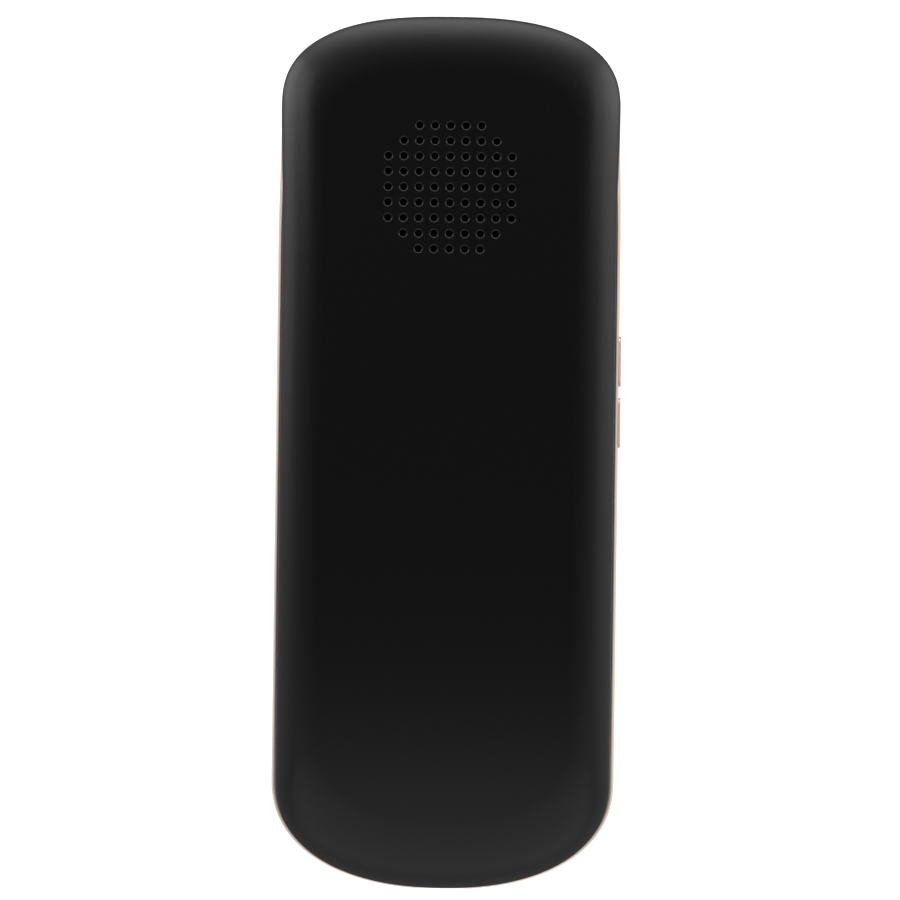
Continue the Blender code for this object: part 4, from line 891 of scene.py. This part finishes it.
def make_key_ring(node, material):
    """The metal trim ring round a talk key, rounded at both of its edges."""
    low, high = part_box(node)
    centre = (low + high) / 2
    outer = (high.x - low.x) / 2
    inner = outer - KEY_RING_WIDTH
    edge = quarter_round(KEY_EDGE, KEY_EDGE_STEPS)
    profile = [(inner, high.z), (outer, high.z)]
    profile += [(outer - inward, low.z + down) for inward, down in reversed(edge)]
    profile += [(inner + inward, low.z + down) for inward, down in edge]
    ring = solid(turned(profile, ROUND_STEPS, centre.x, centre.y), node + "_trim")
    dress(ring, material, "casing", [node])


def make_light_pipe(material):
    """The status light's clear pipe, with a flange behind the panel and a soft edge at its face."""
    low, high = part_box("light_pipe")
    centre = (low + high) / 2
    flange = (high.x - low.x) / 2
    radius = flange - LIGHT_FLANGE_REACH
    profile = [(0, high.z), (flange, high.z), (flange, high.z - LIGHT_FLANGE_THICKNESS)]
    profile.append((radius, high.z - LIGHT_FLANGE_THICKNESS))
    for inward, down in reversed(quarter_round(LIGHT_EDGE, KEY_EDGE_STEPS)):
        profile.append((radius - inward, low.z + down))
    profile.append((0, low.z))
    pipe = solid(turned(profile, SMALL_ROUND_STEPS, centre.x, centre.y), "light_pipe_lens")
    dress(pipe, material, "casing", ["light_pipe"])


def socket_section(margin, y):
    """The charging socket's outline at one depth: a wide top and two cut lower corners."""
    low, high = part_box("usb_socket_shell")
    centre = (low + high) / 2
    half_width = (high.x - low.x) / 2 - margin
    half_height = (high.z - low.z) / 2 - margin
    corners = [
        (-half_width, half_height),
        (-half_width, SOCKET_CORNER - half_height),
        (SOCKET_CORNER - half_width, -half_height),
        (half_width - SOCKET_CORNER, -half_height),
        (half_width, SOCKET_CORNER - half_height),
        (half_width, half_height),
    ]
    return [Vector((centre.x + x, y, centre.z + z)) for x, z in corners]


def round_edges(bm, edges, width):
    bmesh.ops.bevel(
        bm,
        geom=edges,
        offset=width,
        affect="EDGES",
        segments=SMALL_BEVEL_STEPS,
        profile=0.5,
        material=-1,
    )


def round_long_edges(bm, width):
    """Rounds the edges of a prism that run along Y."""
    along = [edge for edge in bm.edges if abs(edge.verts[0].co.y - edge.verts[1].co.y) > MERGE_DISTANCE]
    round_edges(bm, along, width)


def rounded_box(low, high, width):
    """A box between two corners with its edges rounded."""
    bm = bmesh.new()
    size = high - low
    place = Matrix.Translation((low + high) / 2) @ Matrix.Diagonal((*size, 1))
    bmesh.ops.create_cube(bm, size=1, matrix=place)
    round_edges(bm, list(bm.edges), width)
    return bm


def make_charging_socket(steel, plastic, gold):
    """The micro socket: a folded steel shell, a plastic core with its tongue, and five plated contacts."""
    low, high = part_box("usb_socket_shell")
    shell = skin([socket_section(0, low.y), socket_section(0, high.y)])
    round_long_edges(shell, SOCKET_CORNER_ROUND)
    bore_ends = (low.y - CUT_OVERRUN, high.y + CUT_OVERRUN)
    bore = skin([socket_section(SOCKET_WALL, y) for y in bore_ends])
    round_long_edges(bore, SOCKET_CORNER_ROUND - SOCKET_WALL / 2)
    shell = carve(solid(shell, "usb_socket_shell_steel"), solid(bore, "socket_bore"))
    dress(shell, steel, "casing", ["usb_socket_shell"])

    core_margin = SOCKET_WALL + SOCKET_CORE_GAP
    face = high.y - SOCKET_BACK
    core = skin([socket_section(core_margin, face), socket_section(core_margin, high.y)])
    round_long_edges(core, SOCKET_CORNER_ROUND / 2)
    core = solid(core, "usb_socket_core")
    blade_middle = (low.z + high.z) / 2 + TONGUE_RISE
    blade_low = Vector((-TONGUE_WIDTH / 2, face - TONGUE_REACH, blade_middle - TONGUE_THICKNESS / 2))
    blade_high = Vector((TONGUE_WIDTH / 2, high.y - SOCKET_BACK / 2, blade_middle + TONGUE_THICKNESS / 2))
    carve(core, solid(rounded_box(blade_low, blade_high, TONGUE_EDGE), "tongue"), "UNION")
    dress(core, plastic, "casing", ["usb_socket_tongue"])

    contacts = bmesh.new()
    contact_size = Matrix.Diagonal((CONTACT_WIDTH, CONTACT_LENGTH, CONTACT_THICKNESS, 1))
    for number in range(CONTACT_COUNT):
        x = (number - (CONTACT_COUNT - 1) / 2) * CONTACT_PITCH
        middle = Vector((x, face - CONTACT_LENGTH / 2 - TONGUE_EDGE, blade_low.z - CONTACT_THICKNESS / 2))
        bmesh.ops.create_cube(contacts, size=1, matrix=Matrix.Translation(middle) @ contact_size)
    contacts = solid(contacts, "usb_contacts")
    dress(contacts, gold, "casing", [])


def dress_inner_parts(tin, silicone):
    """Surfaces for the parts that keep their CAD shape."""
    stainless = stamped_stainless_steel()
    black_nylon = glass_filled_nylon("black_nylon", "121213", "202021")
    epoxy = moulded_epoxy()
    white_nylon = glass_filled_nylon("white_nylon", "e0dccf", "f1eee5")
    red_vinyl = extruded_vinyl("red_vinyl", "8e1210", "b01c18")
    black_vinyl = extruded_vinyl("black_vinyl", "0f0f10", "1c1c1d")
    abs_black = spark_eroded_abs()
    screws = black_zinc_steel()
    finishes = {
        "panel_adhesive": acrylic_foam_tape(),
        "front_housing": abs_black,
        "main_board": solder_masked_board(),
        "shield_can": tin,
        "radio_module": tin,
        "processor_chip": epoxy,
        "amplifier_chip": epoxy,
        "battery_cell": aluminium_laminate(),
        "battery_guard_board": polyimide_tape(),
        "battery_tape": polyester_tape(),
        "battery_socket": white_nylon,
        "battery_plug": white_nylon,
        "battery_lead_red": red_vinyl,
        "battery_lead_black": black_vinyl,
        "speaker_lead_red": red_vinyl,
        "speaker_lead_black": black_vinyl,
        "speaker_frame": abs_black,
        "speaker_magnet": nickel_plate(),
        "speaker_cone": pressed_film(),
        "speaker_gasket": open_foam(),
        "speaker_mesh": woven_polyester(),
        "microphone_capsule": tin,
        "microphone_boot": silicone,
        "status_led": lamp_package("status_led"),
    }
    for key in ("talk_{}_upper", "talk_{}_lower", "power_{}", "volume_up_{}", "volume_down_{}"):
        finishes[key.format("switch")] = stainless
        finishes[key.format("stem")] = black_nylon
    for number in range(1, SCREW_COUNT + 1):
        finishes[f"board_screw_{number}"] = screws
    for node, material in finishes.items():
        part = bpy.data.objects[node]
        part.data.materials.clear()
        part.data.materials.append(material)


def make_camera():
    """The camera over the back, framed as the photograph is."""
    pixels_per_metre = OUTLINE_LENGTH_PX / (2 * BODY_CORNER.y)
    back = Vector((math.sin(CAMERA_TURN), 0, math.cos(CAMERA_TURN)))
    lean = Vector((-math.sin(CAMERA_LEAN), math.cos(CAMERA_LEAN), 0))
    right = lean.cross(back).normalized()
    up = back.cross(right)
    camera = bpy.data.cameras.new("camera")
    camera.sensor_width = SENSOR
    camera.lens = pixels_per_metre * CAMERA_DISTANCE * SENSOR / FRAME
    camera.clip_end = CAMERA_SIGHT
    camera_object = bpy.data.objects.new("camera", camera)
    bpy.context.scene.collection.objects.link(camera_object)
    place = Vector((0, 0, (BAND_BOTTOM + BAND_TOP) / 2)) + back * CAMERA_DISTANCE
    place -= (right * OUTLINE_SHIFT_PX[0] + up * OUTLINE_SHIFT_PX[1]) / pixels_per_metre
    turn = Matrix((right, up, back)).transposed()
    camera_object.matrix_world = Matrix.Translation(place) @ turn.to_4x4()
    bpy.context.scene.camera = camera_object


def make_world():
    """A soft studio round the device: dark above it, pale round it and below, brightest past its speaker
    end but dark low down there, and white to the camera."""
    world = bpy.data.worlds.new("studio")
    bpy.context.scene.world = world
    world.use_nodes = True
    background = world.node_tree.nodes["Background"]
    direction = add(world, "ShaderNodeTexCoord").outputs["Generated"]
    x, y, z = add(world, "ShaderNodeSeparateXYZ", {"Vector": direction}).outputs
    ramp = add(world, "ShaderNodeValToRGB", {"Fac": spread(world, z, -1.0, 1.0)})
    elements = ramp.color_ramp.elements
    for number, (elevation, level) in enumerate(STUDIO_LEVELS):
        share = (1 + math.sin(math.radians(elevation))) / 2
        element = elements[number] if number < len(elements) else elements.new(share)
        element.position = share
        element.color = (level, level, level, 1)
    glow = computed(world, "POWER", computed(world, "MAXIMUM", y, 0.0), SPEAKER_END_FALL)
    rise = spread(world, z, *SPEAKER_END_RISE, SPEAKER_END_SHADE, SPEAKER_END_GLOW)
    gain = computed(world, "MULTIPLY_ADD", glow, rise, 1.0)
    gain = computed(world, "MULTIPLY_ADD", y, -CHARGING_END_GLOW, gain)
    gain = computed(world, "MULTIPLY_ADD", x, VOLUME_SIDE_GLOW, gain)
    low = spread(world, z, *RIM_SHADE_HEIGHTS, -RIM_SHADE, 0.0)
    past = spread(world, y, *RIM_SHADE_START)
    gain = computed(world, "MULTIPLY", gain, computed(world, "MULTIPLY_ADD", low, past, 1.0))
    level = add(
        world, "ShaderNodeVectorMath", {0: ramp.outputs["Color"], "Scale": gain}, operation="SCALE",
    )
    seen = add(world, "ShaderNodeLightPath").outputs["Is Camera Ray"]
    light = mixed(world, seen, level.outputs["Vector"], (1, 1, 1, 1))
    join_up(world, light, background.inputs["Color"])


def soft_lamp(name, place, aim, width, height, radiance):
    """A soft rectangular lamp at one point, facing another."""
    lamp = bpy.data.lights.new(name, "AREA")
    lamp.shape = "RECTANGLE"
    lamp.size = width
    lamp.size_y = height
    lamp.energy = radiance * math.pi * width * height
    away = Vector(place) - Vector(aim)
    lamp_object = bpy.data.objects.new(name, lamp)
    lamp_object.location = place
    lamp_object.rotation_euler = away.to_track_quat("Z", "Y").to_euler()
    lamp_object.visible_camera = False
    bpy.context.scene.collection.objects.link(lamp_object)


def make_floor():
    """A plain white floor just under the device, which lets the light through when seen from below."""
    bm = bmesh.new()
    bmesh.ops.create_grid(bm, x_segments=1, y_segments=1, size=FLOOR_SIZE / 2)
    bmesh.ops.translate(bm, vec=Vector((0, 0, -FLOOR_DROP)), verts=bm.verts)
    floor = in_scene(bm, "floor")
    material, shader, place = surface("matt_white_card", Roughness=0.9)
    mottle = add(
        material, "ShaderNodeTexNoise",
        {"Vector": place, "Scale": per_metre(FLOOR_MOTTLE), "Detail": GRAIN_DETAIL},
    )
    tone = mixed(material, mottle.outputs["Fac"], linear("f4f4f4"), linear("fafafa"))
    join_up(material, tone, shader.inputs["Base Color"])
    shader.inputs["Emission Color"].default_value = (1, 1, 1, 1)
    shader.inputs["Emission Strength"].default_value = FLOOR_GLOW
    behind = add(material, "ShaderNodeNewGeometry").outputs["Backfacing"]
    clear = add(material, "ShaderNodeBsdfTransparent")
    both = add(
        material, "ShaderNodeMixShader", {0: behind, 1: shader.outputs["BSDF"], 2: clear.outputs["BSDF"]},
    )
    output = material.node_tree.nodes["Material Output"]
    join_up(material, both.outputs["Shader"], output.inputs["Surface"])
    floor.data.materials.append(material)
    floor.visible_glossy = False
    floor.visible_shadow = False


# The keys are anodised in another bath than the band, and come out a little deeper in colour
band_metal = blasted_anodised_aluminium("rose_anodised_aluminium", "d3baab", "e8d3c7")
key_metal = blasted_anodised_aluminium("rose_anodised_keys", "d3b5a2", "e6cebd")
silicone = moulded_silicone()
tin = tin_plated_steel()

make_rear_cover(soft_touch_polycarbonate())
make_band(band_metal)
make_volume_key("volume_up_key", "volume_up", key_metal)
make_volume_key("volume_down_key", "volume_down", key_metal)
make_front_panel(gloss_acrylic())
make_round_key("talk_key_upper", "talk_upper", silicone, TALK_KEY_DISH)
make_round_key("talk_key_lower", "talk_lower", silicone, TALK_KEY_DISH)
make_round_key("power_key", "power", key_metal, POWER_KEY_DISH)
make_key_ring("key_ring_upper", band_metal)
make_key_ring("key_ring_lower", band_metal)
make_light_pipe(frosted_acrylic())
make_charging_socket(tin, glass_filled_nylon("liquid_crystal_polymer", "0e0e0f", "1a1a1b"), gold_plate())
dress_inner_parts(tin, silicone)

make_camera()
make_world()
for lamp in LAMPS:
    soft_lamp(*lamp)
make_floor()
bpy.context.scene.view_settings.view_transform = "Standard"
